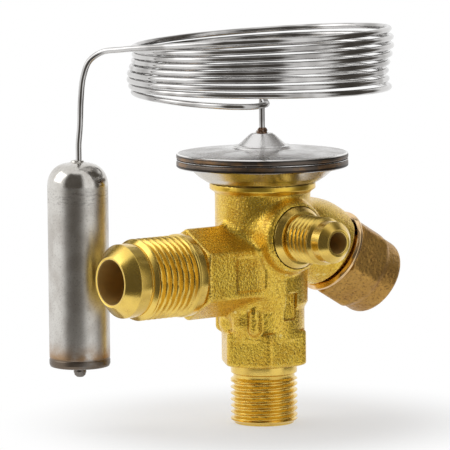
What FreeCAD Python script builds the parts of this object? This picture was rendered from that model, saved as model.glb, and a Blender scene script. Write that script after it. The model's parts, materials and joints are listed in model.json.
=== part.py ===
import FreeCAD, Part
import math
import os

# Refrigerant expansion valve: an angle body with three flared ports, a sealed sensing
# element with a long coiled capillary and a bulb, and a capped superheat adjuster.
# Millimetres. The origin is on the inlet axis where the inlet thread begins. +Z runs up the
# valve axis, the outlet port points along -X, the equaliser port along -Y, and the
# adjuster leans down and out along +X.

V = FreeCAD.Vector
ORIGIN = V(0, 0, 0)
X_AXIS = V(1, 0, 0)
Z_AXIS = V(0, 0, 1)

# Fits
run_fit = 0.05          # radial clearance of what turns or slides in its hole
face_fit = 0.05         # play between faces that turn against each other
braze_gap = 0.02        # round the capillary in its sockets
over = 1.0              # how far a cut runs past the face it opens
soft_edge = 0.3         # small turned chamfer

# Body heights along the valve axis
inlet_tip = 0.95        # plain tip below the inlet thread
inlet_thread_h = 9.65
inlet_collar_z = 11.2
inlet_collar_h = 2.35
inlet_runout = 0.5      # from the last crest down to the relief
thread_lead = 0.65      # height of the first crest's chamfer, by its depth
hex_h = 8.0
waist_h = 5.4           # slim part of the body above the lower hex
outlet_z = 36.11
equalizer_z = 44.27
shoulder_z = 43.5       # where the body widens to the neck
shoulder_h = 2.0
neck_flare_z = 54.25    # where the neck widens to its lip
neck_flare_h = 1.1
lip_h = 0.9

# Body radii
body_hex_af = 18.9      # both wrench hexes, across the flats
inlet_thread_r = 7.9375
inlet_tip_r = 7.0
inlet_relief_r = 7.25
inlet_collar_r = 7.85
waist_r = 9.7
body_r = 10.3
neck_r = 11.27
lip_r = 12.5
hex_chamfer = 0.9       # turned corner of a hex, measured off its circle
hex_chamfer_angle = 30.0

# Outlet port, distances from the valve axis
outlet_thread_r = 9.525
outlet_end_x = 44.37
outlet_cone_x = 41.7
outlet_nose_x = 38.7
outlet_groove_x = 38.0
outlet_crest_x = 37.3
outlet_thread_end_x = 25.7
outlet_collar_x = 25.3
outlet_collar_end_x = 23.4
outlet_hex_x = 22.95
outlet_hex_start_x = 5.0
outlet_nose_r = 8.6
outlet_groove_r = 8.15
outlet_crest_foot_r = 8.45
outlet_shank_r = 9.15   # between the hex and the collar
outlet_collar_r = 9.75
outlet_land = 0.6       # flat ring round the mouth
mouth_edge = 0.25       # and its broken corner
outlet_bore_r = 5.23
outlet_bore_depth = 32.0
outlet_inner_r = 4.6

# Equaliser port, distances from the valve axis
equalizer_thread_r = 5.556
equalizer_end_y = 28.39
equalizer_cone_y = 26.9
equalizer_nose_y = 24.3
equalizer_crest_y = 23.6
equalizer_thread_end_y = 15.7
equalizer_collar_y = 15.2
equalizer_boss_y = 12.9
equalizer_root_y = 5.0
equalizer_nose_r = 4.85
equalizer_collar_r = 7.05
equalizer_boss_r = 8.3
equalizer_boss_round = 1.6
equalizer_land = 0.7
equalizer_bore_r = 2.47
equalizer_bore_depth = 13.0
equalizer_inner_r = 1.15

# Forging marks on the lower body
pad_r = 11.0
pad_angle = 157.5       # each side of the outlet axis, seen from above
pad_w = 7.6
pad_top_z = 30.5
pad_corner_r = 2.4
notch_w = 1.5
notch_depth = 1.1
notch_h = 6.0
notch_shift = 2.5       # from the middle of the pad
notch_foot = 0.4        # above the pad's foot
pocket_w = 3.2
pocket_h = 5.7
pocket_z = 25.1
pocket_depth = 0.9

# Adjuster, distances along its own axis from where that meets the valve axis
apex_z = 50.1
adjuster_tilt = 30.0
boss_r = 9.9
boss_end = 22.3
boss_top_z = 51.9
boss_round = 2.0
boss_edge = 0.8
spigot_r = 7.0
spigot_end = 29.5
spigot_root = 8.0
spigot_relief = 0.9     # plain part before the thread
spigot_edge = 0.6       # depth of the relief and of the end's chamfer
gland_start = 22.15
gland_thread_r = 4.6
spindle_bore_r = 3.85
spindle_bore_start = 5.0

# Bores on the valve axis
inlet_bore_r = 5.6
orifice_bore_r = 4.95
orifice_step_z = 17.55
outlet_chamber_z = 28.6
outlet_chamber_top = 40.4
outlet_chamber_r = 5.3
spring_floor_z = 42.1
spring_chamber_r = 8.2
case_socket_z = 52.85
case_socket_r = 8.9

# Sensing element
case_r = 20.27
case_bottom_z = 60.08
weld_z = 61.7           # underside of the diaphragm's rim
case_top_z = 63.33
diaphragm_t = 0.15
clamp_r = 17.9          # inside this radius the diaphragm is free
case_relief = 0.4       # where each case clears the diaphragm
wave_h = 0.22           # half height of the diaphragm's corrugations
wave_count = 4
wave_start_r = 9.0
dome_step_r = 7.2
dome_step_z = 64.85
dome_foot_r = 5.5
dome_foot_z = 65.35
dome_top_r = 2.5
dome_top_z = 67.75
dome_cap_z = 67.95
dome_edge = 0.8
hub_foot_r = 3.6        # inside, under the dome
hub_rise = 0.8
case_wall = 1.3
case_edge = 0.25        # rolled corner of each rim
dome_lip = 0.3          # step round the dome
hub_depth = 2.2         # of the capillary's hole
lower_cone_r = 15.8
lower_cone_z = 59.45
lower_knee = 0.5
seat_step = 0.1         # the cone's foot on the body's lip
lower_floor_z = 57.85
lower_floor_r = 11.2
lower_inner_r = 14.6    # where the cone opens out inside
lower_inner_z = 60.98
lower_sleeve_r = 7.7
case_fit = 0.05         # the lower case's sleeve in its socket

# Capillary and bulb
capillary_r = 0.70
stem_seat = 1.9         # how far the capillary enters the cover's hub
bead_h = 1.6
bead_r = 1.7
bead_middle_r = 1.1
bead_top_r = 0.85
coil_turns = 7.67
coil_r = 30.15
coil_start_angle = 142.7
coil_shift = 0.3        # how far the turns lean towards where the coil starts
coil_sway = 0.65        # and how much that varies up the coil
coil_sway_turns = 7.0
coil_sway_peak = 2.3
coil_first_z = 77.8
coil_pitch = 1.71
coil_tilt_first = -0.11 # half the tilt across the coil, at the first turn
coil_tilt_step = 0.24   # and what each turn adds
coil_nodes_per_turn = 6
stem_bend_r = 2.0
stem_run = 24.0         # straight run out from the stem's bend
stem_way = V(-0.585, -0.811, 0.008)
stem_top_z = 76.4
bulb_r = 7.15
bulb_x = -41.0
bulb_y = 17.4
bulb_bottom_z = 14.74
bulb_top_z = 62.9
bulb_shoulder_z = 57.0
bulb_seam_h = 2.0
bulb_neck_r = 1.5
bulb_neck_h = 0.6
dome_lean = 0.745       # a point that the bulb's dome passes through, by its radius
dome_fill = 0.62        # and by its height
bulb_edge = 0.5         # rolled corner of the end plate
bulb_seam = 0.25        # depth of the groove over the end plate
bulb_socket = 3.0       # how far the capillary enters
pip_r = 1.5
pip_h = 2.85

# Where the capillary leaves the coil: angle round it, distance off it, height over its foot
arc_places = [(226.88, -0.01, -1.2), (204.27, 0.02, -0.95), (180, -0.35, -0.4)]
arc_way = (-0.98, 0.2, 0.02)
lead_places = [
    (227.15, -0.01, 13.55), (216.26, 0.11, 13.25), (203.67, -0.01, 12.8),
    (184.88, 1.57, 12), (169.34, 6.07, 11.15)]
# and where it drops to the bulb, off the top of the bulb
drop_places = [(3, -5.2, 25.05), (1.7, -2.8, 23.1), (1, -1.5, 19.7), (0.7, -0.8, 14.6), (0.4, -0.4, 7.6)]

# Superheat gear, bevel pair with its apex on the valve axis
pinion_teeth = 8
ring_teeth = 16
cone_out = 8.4
cone_in = 6.6
ring_pitch_r = 5.42
addendum = 0.48
dedendum = 0.64
pressure_angle = 22.0
backlash = 0.12
tooth_over = 0.3        # how far a tooth space is cut past the tips
ring_hub_r = 3.75
ring_hub_top_z = 48.65
ring_rim_r = 4.8

# Superheat spring and what it pushes on
seat_thread_r = 3.0
seat_bore_r = 1.6
seat_bottom_z = 44.75
seat_flange_z = 51.65
seat_flange_t = 1.2
seat_flange_r = 7.3
seat_rise = 0.8         # ring that centres the spring
spring_r = 5.3
spring_wire = 1.2
spring_turns = 3.5
guide_pin_r = 0.6
guide_pin_at = 6.8
guide_pin_angle = 110.0
guide_pin_top_z = 55.0
guide_pin_root = 2.0
plate_r = 9.5
plate_t = 1.4
plate_hub_r = 4.4
plate_hub_h = 1.4
plate_roof = 0.55       # metal over the end of the rod
rod_r = 1.2
rod_bottom_z = 27.45

# Rod guide
guide_r = 2.6
guide_bottom_z = 39.4
seal_pocket_z = 40.6
seal_wire_r = 0.42
seal_z = 41.35

# Adjusting spindle and its gland
spindle_neck_r = 2.0
spindle_collar_r = spindle_bore_r - run_fit
spindle_collar_start = 8.5
spindle_collar_end = 10.3
spindle_r = 2.2
spindle_square_start = 29.0
spindle_square_af = 3.1
spindle_end = 32.5
washer_t = 1.0
ring_section_r = 0.78
packing_start = 13.05
packing_end = 16.0
gland_end = 28.2
gland_slot_w = 1.2
gland_slot_depth = 1.2

# Cap nut
cap_af = 18.9
cap_near_gap = 0.4
cap_hex_end = 33.9
cap_end = 39.0
cap_round_r = 9.3
cap_round_edge = 1.1
cap_thread_fit = 0.06
cap_cavity_r = 5.4
cap_cavity_end = 34.9
cap_drill_tip = 1.2
cap_mouth = 0.9         # chamfer at the thread's mouth
cap_gasket_t = 0.75
cap_clock = -12.0       # where the first corner points, about the adjuster's axis
cap_near_chamfer = 1.4
cap_far_chamfer = 1.6

# Orifice cartridge and strainer
orifice_flange_r = 5.55
orifice_flange_z = 15.6
orifice_r = 4.9
orifice_top_z = 28.0
orifice_cavity_r = 2.9
orifice_cone_z = 25.4
seat_edge_z = 26.6
seat_hole_r = 1.7
o_ring_wire_r = 0.5
o_ring_z = 23.2
o_ring_squeeze = 0.02
pin_stem_r = 0.9
pin_stem_bottom_z = 16.0
pin_collar_z = 22.0
pin_collar_t = 1.0
pin_collar_r = 1.7
pin_head_r = 2.3
pin_head_z = 25.28
pin_head_t = 0.8
retainer_z = 16.2
retainer_t = 1.2
retainer_hole_r = 0.55
retainer_hole_at = 1.95
retainer_holes = 6
cone_spring_wire = 0.4
cone_spring_r = 1.35
cone_spring_turns = 5.0
strainer_mouth_z = -0.6
strainer_collar_top_z = 1.4
strainer_mouth_r = 4.5
mesh_foot_r = 4.75
mesh_top_r = 2.6
mesh_top_z = 14.4
mesh_t = 0.3
mesh_columns = 8
mesh_rows = 6
mesh_hole_w = 0.9
mesh_hole_h = 1.2

# Derived values
thread_chamfer = inlet_thread_r - inlet_tip_r
lower_hex_z = inlet_collar_z + inlet_collar_h
waist_z = lower_hex_z + hex_h
waist_top_z = waist_z + waist_h
body_hex_r = body_hex_af / math.sqrt(3)
lip_z = neck_flare_z + neck_flare_h
neck_top_z = lip_z + lip_h
plate_z = weld_z - face_fit - plate_t
rod_top_z = plate_z + plate_t - plate_roof
CHAMFER_SLOPE = math.tan(math.radians(hex_chamfer_angle))
hex_cut = (hex_chamfer, hex_chamfer * CHAMFER_SLOPE)
TILT = math.radians(adjuster_tilt)
ADJUSTER = V(math.cos(TILT), 0, -math.sin(TILT))
APEX = V(0, 0, apex_z)
OUTLET = V(-1, 0, 0)
EQUALIZER = V(0, -1, 0)


# Shape helpers

def turned(profile, base=ORIGIN, direction=Z_AXIS):
    """A solid turned about an axis from a closed outline of (radius, distance) points."""
    points = [V(r, 0, h) for r, h in profile]
    face = Part.Face(Part.makePolygon(points + [points[0]]))
    return placed(face.revolve(ORIGIN, Z_AXIS, 360), base, direction)


def placed(shape, base, direction):
    """The shape with its own +Z turned to the direction and its origin at the base."""
    shape = shape.copy()
    shape.Placement = FreeCAD.Placement(base, FreeCAD.Rotation(Z_AXIS, direction))
    return shape


def rod(radius, start, end, base=ORIGIN, direction=Z_AXIS):
    """A plain cylinder between two distances along an axis."""
    return Part.makeCylinder(radius, end - start, base + direction * start, direction)


def tube(outer, inner, start, end, base=ORIGIN, direction=Z_AXIS):
    """A plain sleeve between two distances along an axis."""
    return rod(outer, start, end, base, direction).cut(rod(inner, start, end, base, direction))


def prism(sides, corner_r, start, end, first_angle=0.0):
    """A regular prism along Z with one corner at the first angle."""
    corners = []
    for i in range(sides + 1):
        angle = math.radians(first_angle + 360.0 * (i % sides) / sides)
        corners.append(V(corner_r * math.cos(angle), corner_r * math.sin(angle), start))
    return Part.Face(Part.makePolygon(corners)).extrude(V(0, 0, end - start))


def wrench_hex(across_flats, start, end, first_angle=0.0, start_cut=(0, 0), end_cut=(0, 0)):
    """A hex with its corners turned off at either end, each cut a (depth, height) pair."""
    corner_r = across_flats / math.sqrt(3)
    outline = [
        (0, start), (corner_r - start_cut[0], start), (corner_r, start + start_cut[1]),
        (corner_r, end - end_cut[1]), (corner_r - end_cut[0], end), (0, end)]
    blank = turned([p for i, p in enumerate(outline) if p not in outline[:i]])
    return prism(6, corner_r, start, end, first_angle).common(blank)


def ring(mean_r, wire_r, height, base=ORIGIN, direction=Z_AXIS):
    """A round-section ring about an axis."""
    return Part.makeTorus(mean_r, wire_r, base + direction * height, direction)


def arc_between(start, start_dir, end):
    """Centre, axis and angle of the arc that leaves the start along a direction."""
    chord = end - start
    normal = start_dir.cross(chord)
    normal.normalize()
    inward = normal.cross(start_dir)
    inward.normalize()
    radius = chord.dot(chord) / (2 * chord.dot(inward))
    angle = 2 * math.asin(min(1.0, chord.Length / (2 * radius)))
    return start + inward * radius, normal, angle, radius


def wire_pieces(nodes):
    """Lines and tangent arcs through the nodes, each node a point with its direction."""
    pieces = []
    for (p0, t0), (p1, t1) in zip(nodes, nodes[1:]):
        chord = p1 - p0
        bend = 1 - t0.dot(t1)
        if bend < 1e-9 and chord.cross(t0).Length < 1e-6:
            pieces.append(("line", p0, p1, t0))
            continue
        both = chord.dot(t0 + t1)
        if bend < 1e-9:
            reach = chord.dot(chord) / (2 * both)
        else:
            reach = (math.sqrt(both * both + 2 * bend * chord.dot(chord)) - both) / (2 * bend)
        knee0 = p0 + t0 * reach
        knee1 = p1 - t1 * reach
        joint = (knee0 + knee1) * 0.5
        middle = (knee1 - knee0).normalize()
        pieces.append(("arc", p0, joint, t0))
        pieces.append(("arc", joint, p1, middle))
    return pieces


def wire_length(nodes):
    """Length of the route through the nodes, and its tightest bend's radius."""
    total = 0
    tightest = math.inf
    for kind, start, end, direction in wire_pieces(nodes):
        if kind == "line":
            total += (end - start).Length
            continue
        _, _, angle, bend_r = arc_between(start, direction, end)
        total += angle * bend_r
        tightest = min(tightest, bend_r)
    return total, tightest


def round_wire(nodes, radius):
    """A round wire or tube that follows the nodes, its skin made of cylinders and tori."""
    first_dir = nodes[0][1]
    side = first_dir.cross(Z_AXIS if abs(first_dir.z) < 0.9 else X_AXIS)
    side.normalize()
    faces = []
    circle = None
    for kind, start, end, direction in wire_pieces(nodes):
        circle = section(start, direction, side, radius)
        if not faces:
            faces.append(Part.Face(Part.Wire(circle)))
        if kind == "line":
            skin = circle.extrude(end - start)
            faces += skin.Faces
            continue
        centre, axis, angle, _ = arc_between(start, direction, end)
        degrees = math.degrees(angle)
        faces += circle.revolve(centre, axis, degrees).Faces
        turn = FreeCAD.Rotation(axis, degrees)
        side = turn.multVec(side)
        direction = turn.multVec(direction)
    last = wire_pieces(nodes)[-1]
    faces.append(Part.Face(Part.Wire(section(last[2], direction, side, radius))))
    shell = Part.Shell(faces)
    shell.sewShape()
    solid = Part.Solid(shell)
    solid.fix(1e-4, 1e-4, 1e-4)
    if solid.Volume < 0:
        solid.reverse()
    return solid


def section(point, direction, side, radius):
    """The wire's round section, its seam on the given side."""
    across = direction.cross(side)
    turn = FreeCAD.Rotation(side, across, direction, "ZXY")
    circle = Part.Circle(ORIGIN, Z_AXIS, radius).toShape()
    circle.Placement = FreeCAD.Placement(point, turn)
    return circle


def smooth_nodes(points, first_dir=None, last_dir=None):
    """Each point with the direction of the circle through it and its neighbours."""
    nodes = []
    for i, point in enumerate(points):
        if i == 0 and first_dir is not None:
            direction = first_dir
        elif i == len(points) - 1 and last_dir is not None:
            direction = last_dir
        else:
            before = points[max(i - 1, 0)]
            after = points[min(i + 1, len(points) - 1)]
            a = point - before
            b = after - point
            if a.Length == 0:
                direction = b
            elif b.Length == 0:
                direction = a
            else:
                direction = a * (b.Length / a.Length) + b * (a.Length / b.Length)
        nodes.append((point, V(direction).normalize()))
    return nodes


def helix_spring(mean_r, wire_d, start, end, turns):
    """A round-wire compression spring between two heights on the valve axis."""
    low = start + wire_d / 2
    rise = (end - start - wire_d) / turns
    steps = int(turns * 6)
    points = []
    for i in range(steps + 1):
        angle = 2 * math.pi * i / 6
        z = low + rise * i / 6
        points.append(V(mean_r * math.cos(angle), mean_r * math.sin(angle), z))
    slope = rise / (2 * math.pi * mean_r)
    last = 2 * math.pi * steps / 6
    first_dir = V(0, 1, slope)
    last_dir = V(-math.sin(last), math.cos(last), slope)
    return round_wire(smooth_nodes(points, first_dir, last_dir), wire_d / 2)


def edges_near(shape, test):
    """The edges whose middle passes a test, for a fillet."""
    found = []
    for edge in shape.Edges:
        middle = edge.valueAt((edge.FirstParameter + edge.LastParameter) / 2)
        if test(middle, edge):
            found.append(edge)
    return found


# Valve body

def body_core():
    """The turned and forged column on the valve axis, with its lower hex."""
    runout_z = inlet_thread_h + inlet_runout
    column = turned([
        (0, -inlet_tip), (inlet_tip_r, -inlet_tip), (inlet_tip_r, -thread_lead * thread_chamfer),
        (inlet_thread_r, 0), (inlet_thread_r, inlet_thread_h), (inlet_relief_r, runout_z),
        (inlet_relief_r, inlet_collar_z - soft_edge), (inlet_collar_r, inlet_collar_z),
        (inlet_collar_r, waist_z), (waist_r, waist_z), (waist_r, waist_top_z),
        (body_r, waist_top_z + body_r - waist_r), (body_r, shoulder_z),
        (neck_r, shoulder_z + shoulder_h), (neck_r, neck_flare_z), (lip_r, lip_z),
        (lip_r, neck_top_z), (0, neck_top_z)])
    lower_hex = wrench_hex(body_hex_af, lower_hex_z, waist_z, 0, end_cut=hex_cut)
    return column.fuse(lower_hex)


def forging_pads():
    """Two rounded pads under the outlet arm, with a fold line beside each one's edge."""
    pads = []
    half = pad_w / 2
    low = waist_z + pad_corner_r
    for side in (1, -1):
        slab = Part.makeBox(pad_r, pad_w, pad_top_z - waist_z, V(0, -half, waist_z))
        slab = slab.makeFillet(pad_corner_r, edges_near(
            slab, lambda m, e: abs(m.z - waist_z) < 1e-6 and abs(abs(m.y) - half) < 1e-6))
        slab = slab.common(rod(pad_r, waist_z, pad_top_z))
        face_x = pad_r + over
        apex = V(face_x, -side * notch_shift, low + notch_h)
        foot_y = notch_w / 2
        wedge = Part.makePolygon([
            apex, V(face_x, -side * notch_shift + foot_y, waist_z + notch_foot),
            V(face_x, -side * notch_shift - foot_y, waist_z + notch_foot), apex])
        cut = Part.Face(wedge).extrude(V(-over - notch_depth, 0, 0))
        slab = slab.cut(cut)
        slab.rotate(ORIGIN, Z_AXIS, -side * pad_angle)
        pads.append(slab)
    return pads


def outlet_arm():
    """The outlet's hex and its turned flare connection."""
    arm_hex = wrench_hex(body_hex_af, outlet_hex_start_x, outlet_hex_x, 0, end_cut=hex_cut)
    arm_hex = placed(arm_hex, V(0, 0, outlet_z), OUTLET)
    mouth_r = outlet_bore_r + outlet_land
    groove_side = outlet_nose_r - outlet_groove_r
    connection = turned([
        (0, outlet_hex_start_x), (outlet_groove_r, outlet_hex_start_x),
        (outlet_shank_r, outlet_hex_x), (outlet_shank_r, outlet_collar_end_x),
        (outlet_collar_r, outlet_collar_end_x), (outlet_collar_r, outlet_collar_x),
        (outlet_thread_r, outlet_thread_end_x), (outlet_thread_r, outlet_crest_x),
        (outlet_crest_foot_r, outlet_groove_x), (outlet_groove_r, outlet_groove_x),
        (outlet_groove_r, outlet_nose_x - groove_side), (outlet_nose_r, outlet_nose_x),
        (outlet_nose_r, outlet_cone_x), (mouth_r, outlet_cone_x + outlet_nose_r - mouth_r),
        (mouth_r - mouth_edge, outlet_end_x), (0, outlet_end_x)], V(0, 0, outlet_z), OUTLET)
    return [arm_hex, connection]


def equalizer_arm():
    """The equaliser's round boss, collar and turned flare connection."""
    mouth_r = equalizer_bore_r + equalizer_land
    cone_end = equalizer_cone_y + equalizer_nose_r - mouth_r
    boss = rod(equalizer_boss_r, 0, equalizer_boss_y)
    boss = boss.makeFillet(equalizer_boss_round, edges_near(
        boss, lambda m, e: abs(m.z - equalizer_boss_y) < 1e-6 and e.Closed))
    boss = placed(boss, V(0, 0, equalizer_z), EQUALIZER)
    connection = turned([
        (0, equalizer_root_y), (equalizer_collar_r, equalizer_root_y),
        (equalizer_collar_r, equalizer_collar_y - soft_edge),
        (equalizer_collar_r - soft_edge, equalizer_collar_y), (equalizer_nose_r, equalizer_collar_y),
        (equalizer_thread_r, equalizer_thread_end_y), (equalizer_thread_r, equalizer_crest_y),
        (equalizer_nose_r, equalizer_nose_y), (equalizer_nose_r, equalizer_cone_y),
        (mouth_r, cone_end), (mouth_r - mouth_edge, equalizer_end_y), (0, equalizer_end_y)],
        V(0, 0, equalizer_z), EQUALIZER)
    return [boss, connection]


def adjuster_boss():
    """The sloping boss for the spindle and the spigot that the cap screws on."""
    boss = turned([(0, -boss_r), (boss_r, -boss_r), (boss_r, boss_end - boss_edge),
                   (boss_r - boss_edge, boss_end), (0, boss_end)], APEX, ADJUSTER)
    lid = Part.makeBox(2 * boss_end, 2 * boss_end, boss_end, V(0, -boss_end, boss_top_z))
    boss = boss.cut(lid)
    back = Part.makeBox(boss_end, 2 * boss_end, 2 * apex_z, V(-boss_end, -boss_end, 0))
    boss = boss.cut(back)
    boss = boss.makeFillet(boss_round, edges_near(
        boss, lambda m, e: abs(m.z - boss_top_z) < 1e-6 and m.x > 1.0))
    thread_start = boss_end + spigot_relief + spigot_edge
    spigot = turned([
        (0, spigot_root), (spigot_r - spigot_edge, spigot_root),
        (spigot_r - spigot_edge, thread_start - spigot_edge), (spigot_r, thread_start),
        (spigot_r, spigot_end - spigot_edge), (spigot_r - spigot_edge, spigot_end), (0, spigot_end)],
        APEX, ADJUSTER)
    return [boss, spigot]


def body_bores():
    """Everything that is bored, reamed or pressed into the body."""
    bores = [
        rod(inlet_bore_r, -inlet_tip - over, orifice_step_z),
        rod(orifice_bore_r, orifice_step_z - over, outlet_chamber_z + over),
        rod(outlet_chamber_r, outlet_chamber_z, outlet_chamber_top),
        rod(guide_r, outlet_chamber_top - over, spring_floor_z + over),
        rod(spring_chamber_r, spring_floor_z, case_socket_z + over),
        rod(case_socket_r, case_socket_z, neck_top_z + over)]
    outlet_base = V(0, 0, outlet_z)
    bores.append(rod(outlet_bore_r, outlet_end_x - outlet_bore_depth, outlet_end_x + over,
                     outlet_base, OUTLET))
    bores.append(rod(outlet_inner_r, 0, outlet_end_x, outlet_base, OUTLET))
    equalizer_base = V(0, 0, equalizer_z)
    bores.append(rod(equalizer_bore_r, equalizer_end_y - equalizer_bore_depth,
                     equalizer_end_y + over, equalizer_base, EQUALIZER))
    bores.append(rod(equalizer_inner_r, 0, equalizer_end_y, equalizer_base, EQUALIZER))
    bores.append(rod(spindle_bore_r, spindle_bore_start, spigot_end + over, APEX, ADJUSTER))
    bores.append(rod(gland_thread_r, gland_start, spigot_end + over, APEX, ADJUSTER))
    for centre in guide_pin_centres():
        bores.append(rod(guide_pin_r, spring_floor_z - guide_pin_root, spring_floor_z + over,
                         centre, Z_AXIS))
    pocket_reach = pocket_depth + over
    bores.append(Part.makeBox(pocket_w, pocket_reach, pocket_h,
                              V(-pocket_w / 2, -body_r - over, pocket_z)))
    return bores


def guide_pin_centres():
    """The two guide pins stand on opposite sides of the valve axis."""
    angle = math.radians(guide_pin_angle)
    across = V(guide_pin_at * math.cos(angle), guide_pin_at * math.sin(angle), 0)
    return [across, across * -1]


def valve_body():
    body = body_core()
    body = body.multiFuse(forging_pads() + outlet_arm() + equalizer_arm() + adjuster_boss())
    return body.cut(body_bores()).removeSplitter()


# Sensing element

def case_top_slope():
    return (dome_step_z - case_top_z) / (case_r - dome_step_r)


def upper_case():
    """The pressed cover: a shallow dome with a hub for the capillary."""
    slope = case_top_slope()
    inside_r = clamp_r - case_relief
    inside_rim_z = case_top_z + slope * (case_r - inside_r) - case_wall
    hole_r = capillary_r + braze_gap
    step_top = dome_step_z + dome_lip
    ceiling = dome_step_z - case_wall
    return turned([
        (case_r, weld_z + diaphragm_t), (case_r, case_top_z - case_edge),
        (case_r - case_edge, case_top_z), (dome_step_r + case_edge, dome_step_z),
        (dome_step_r, step_top), (dome_foot_r + dome_lip, step_top), (dome_foot_r, dome_foot_z),
        (dome_top_r, dome_top_z), (dome_top_r - dome_edge, dome_cap_z), (hole_r, dome_cap_z),
        (hole_r, dome_cap_z - hub_depth), (hub_foot_r, ceiling + hub_rise),
        (hub_foot_r + hub_rise, ceiling), (dome_step_r, ceiling), (inside_r, inside_rim_z),
        (inside_r, weld_z + diaphragm_t + case_relief),
        (clamp_r, weld_z + diaphragm_t)])


def lower_case():
    """The pressed cone under the diaphragm, with its sleeve in the body's neck."""
    sleeve_outer = case_socket_r - case_fit
    return turned([
        (case_r, weld_z), (case_r, case_bottom_z + case_edge), (case_r - case_edge, case_bottom_z),
        (lower_cone_r + lower_knee, case_bottom_z), (lower_cone_r, lower_cone_z),
        (lip_r, neck_top_z + seat_step), (lip_r - seat_step, neck_top_z),
        (sleeve_outer, neck_top_z), (sleeve_outer, case_socket_z + face_fit),
        (lower_sleeve_r, case_socket_z + face_fit), (lower_sleeve_r, lower_floor_z),
        (lower_floor_r, lower_floor_z), (lower_inner_r, lower_inner_z),
        (clamp_r - case_relief, lower_inner_z),
        (clamp_r, weld_z)])


def diaphragm():
    """A thin corrugated sheet welded between the two cases."""
    rim_r = case_r - face_fit
    waves_end = clamp_r - case_relief
    pitch = (waves_end - wave_start_r) / (2 * wave_count)
    middle = [(0, 0), (wave_start_r, 0)]
    for i in range(2 * wave_count - 1):
        middle.append((wave_start_r + pitch * (i + 1), wave_h * (1 if i % 2 == 0 else -1)))
    middle += [(waves_end, 0), (rim_r, 0)]
    lower = [(r, weld_z + h) for r, h in middle]
    upper = [(r, weld_z + diaphragm_t + h) for r, h in reversed(middle)]
    return turned(lower + upper)


def braze_bead():
    """The braze that seals the capillary into the cover's hub."""
    hole_r = capillary_r + braze_gap
    top = dome_cap_z + bead_h
    return turned([
        (hole_r, dome_cap_z), (bead_r, dome_cap_z), (bead_middle_r, dome_cap_z + bead_h / 2),
        (bead_top_r, top), (hole_r, top)])


# Capillary: stem, radial run, coil and lead to the bulb

def coil_point(n):
    """A point n turns up the coil. It starts over the bulb side and runs clockwise."""
    first = math.radians(coil_start_angle)
    angle = first - 2 * math.pi * n
    shift = coil_shift + coil_sway * math.cos(2 * math.pi * (n - coil_sway_peak) / coil_sway_turns)
    tilt = coil_tilt_first + coil_tilt_step * n
    return V(coil_r * math.cos(angle) + shift * math.cos(first),
             coil_r * math.sin(angle) + shift * math.sin(first),
             coil_first_z + coil_pitch * n - tilt * math.cos(2 * math.pi * n))


def capillary_nodes():
    """Stem up from the cover, out to the coil, round it, and away to the bulb."""
    out = V(stem_way).normalize()
    stem_foot = V(0, 0, dome_cap_z - stem_seat)
    stem_top = V(0, 0, stem_top_z - stem_bend_r)
    elbow = V(out.x * stem_bend_r, out.y * stem_bend_r, stem_top_z)
    run_end = elbow + out * stem_run
    nodes = [(stem_foot, Z_AXIS), (stem_top, Z_AXIS), (elbow, out), (run_end, out)]
    first_arc = [on_drum(*place) for place in arc_places]
    count = int(coil_turns * coil_nodes_per_turn)
    turns = [coil_point(i / coil_nodes_per_turn) for i in range(count + 1)]
    lead = [on_drum(*place) for place in lead_places]
    drop = [V(bulb_x + x, bulb_y + y, bulb_top_z + z) for x, y, z in drop_places]
    plug = V(bulb_x, bulb_y, bulb_top_z - bulb_socket)
    mouth = V(bulb_x, bulb_y, bulb_top_z + bulb_socket)
    last_dir = V(0, 0, -1)
    route = first_arc + turns + lead + drop + [mouth]
    nodes += smooth_nodes(route, V(arc_way), last_dir)
    return nodes + [(plug, last_dir)]


def on_drum(degrees, outward, height):
    """A point by its angle round the coil, its distance off it and its height over its foot."""
    angle = math.radians(degrees)
    r = coil_r + outward
    return V(r * math.cos(angle), r * math.sin(angle), coil_first_z + height)


def capillary_tube():
    nodes = capillary_nodes()
    length, tightest = wire_length(nodes)
    print("capillary length", round(length, 1), "tightest bend", round(tightest, 2),
          "section times length", round(math.pi * capillary_r ** 2 * length, 2))
    return round_wire(nodes, capillary_r)


def sensor_bulb():
    """The sealed bulb: domed head, straight wall and welded end plate as one outline."""
    shoulder = bulb_top_z - bulb_shoulder_z
    seam_z = bulb_bottom_z + bulb_seam_h
    base = V(bulb_x, bulb_y, 0)
    points = [V(0, 0, bulb_bottom_z), V(bulb_r - bulb_edge, 0, bulb_bottom_z),
              V(bulb_r, 0, bulb_bottom_z + bulb_edge), V(bulb_r, 0, seam_z - bulb_seam),
              V(bulb_r - bulb_seam, 0, seam_z), V(bulb_r, 0, seam_z + bulb_seam),
              V(bulb_r, 0, bulb_shoulder_z)]
    edges = [Part.LineSegment(a, b).toShape() for a, b in zip(points, points[1:])]
    neck_foot = V(bulb_neck_r, 0, bulb_top_z - bulb_neck_h)
    lean = V(bulb_r * dome_lean, 0, bulb_shoulder_z + shoulder * dome_fill)
    edges.append(Part.Arc(points[-1], lean, neck_foot).toShape())
    rest = [neck_foot, V(bulb_neck_r - soft_edge, 0, bulb_top_z), V(0, 0, bulb_top_z), points[0]]
    edges += [Part.LineSegment(a, b).toShape() for a, b in zip(rest, rest[1:])]
    solid = Part.Face(Part.Wire(edges)).revolve(ORIGIN, Z_AXIS, 360)
    solid.translate(base)
    socket = rod(capillary_r + braze_gap, bulb_top_z - bulb_socket, bulb_top_z + over, base)
    return solid.cut(socket)


def charge_pip():
    """The pinched-off filling tube under the bulb."""
    low = bulb_bottom_z - pip_h
    return turned([
        (0, low), (pip_r / 2, low), (pip_r, low + pip_r), (pip_r, bulb_bottom_z),
        (0, bulb_bottom_z)], V(bulb_x, bulb_y, 0))


# Superheat gear

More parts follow.
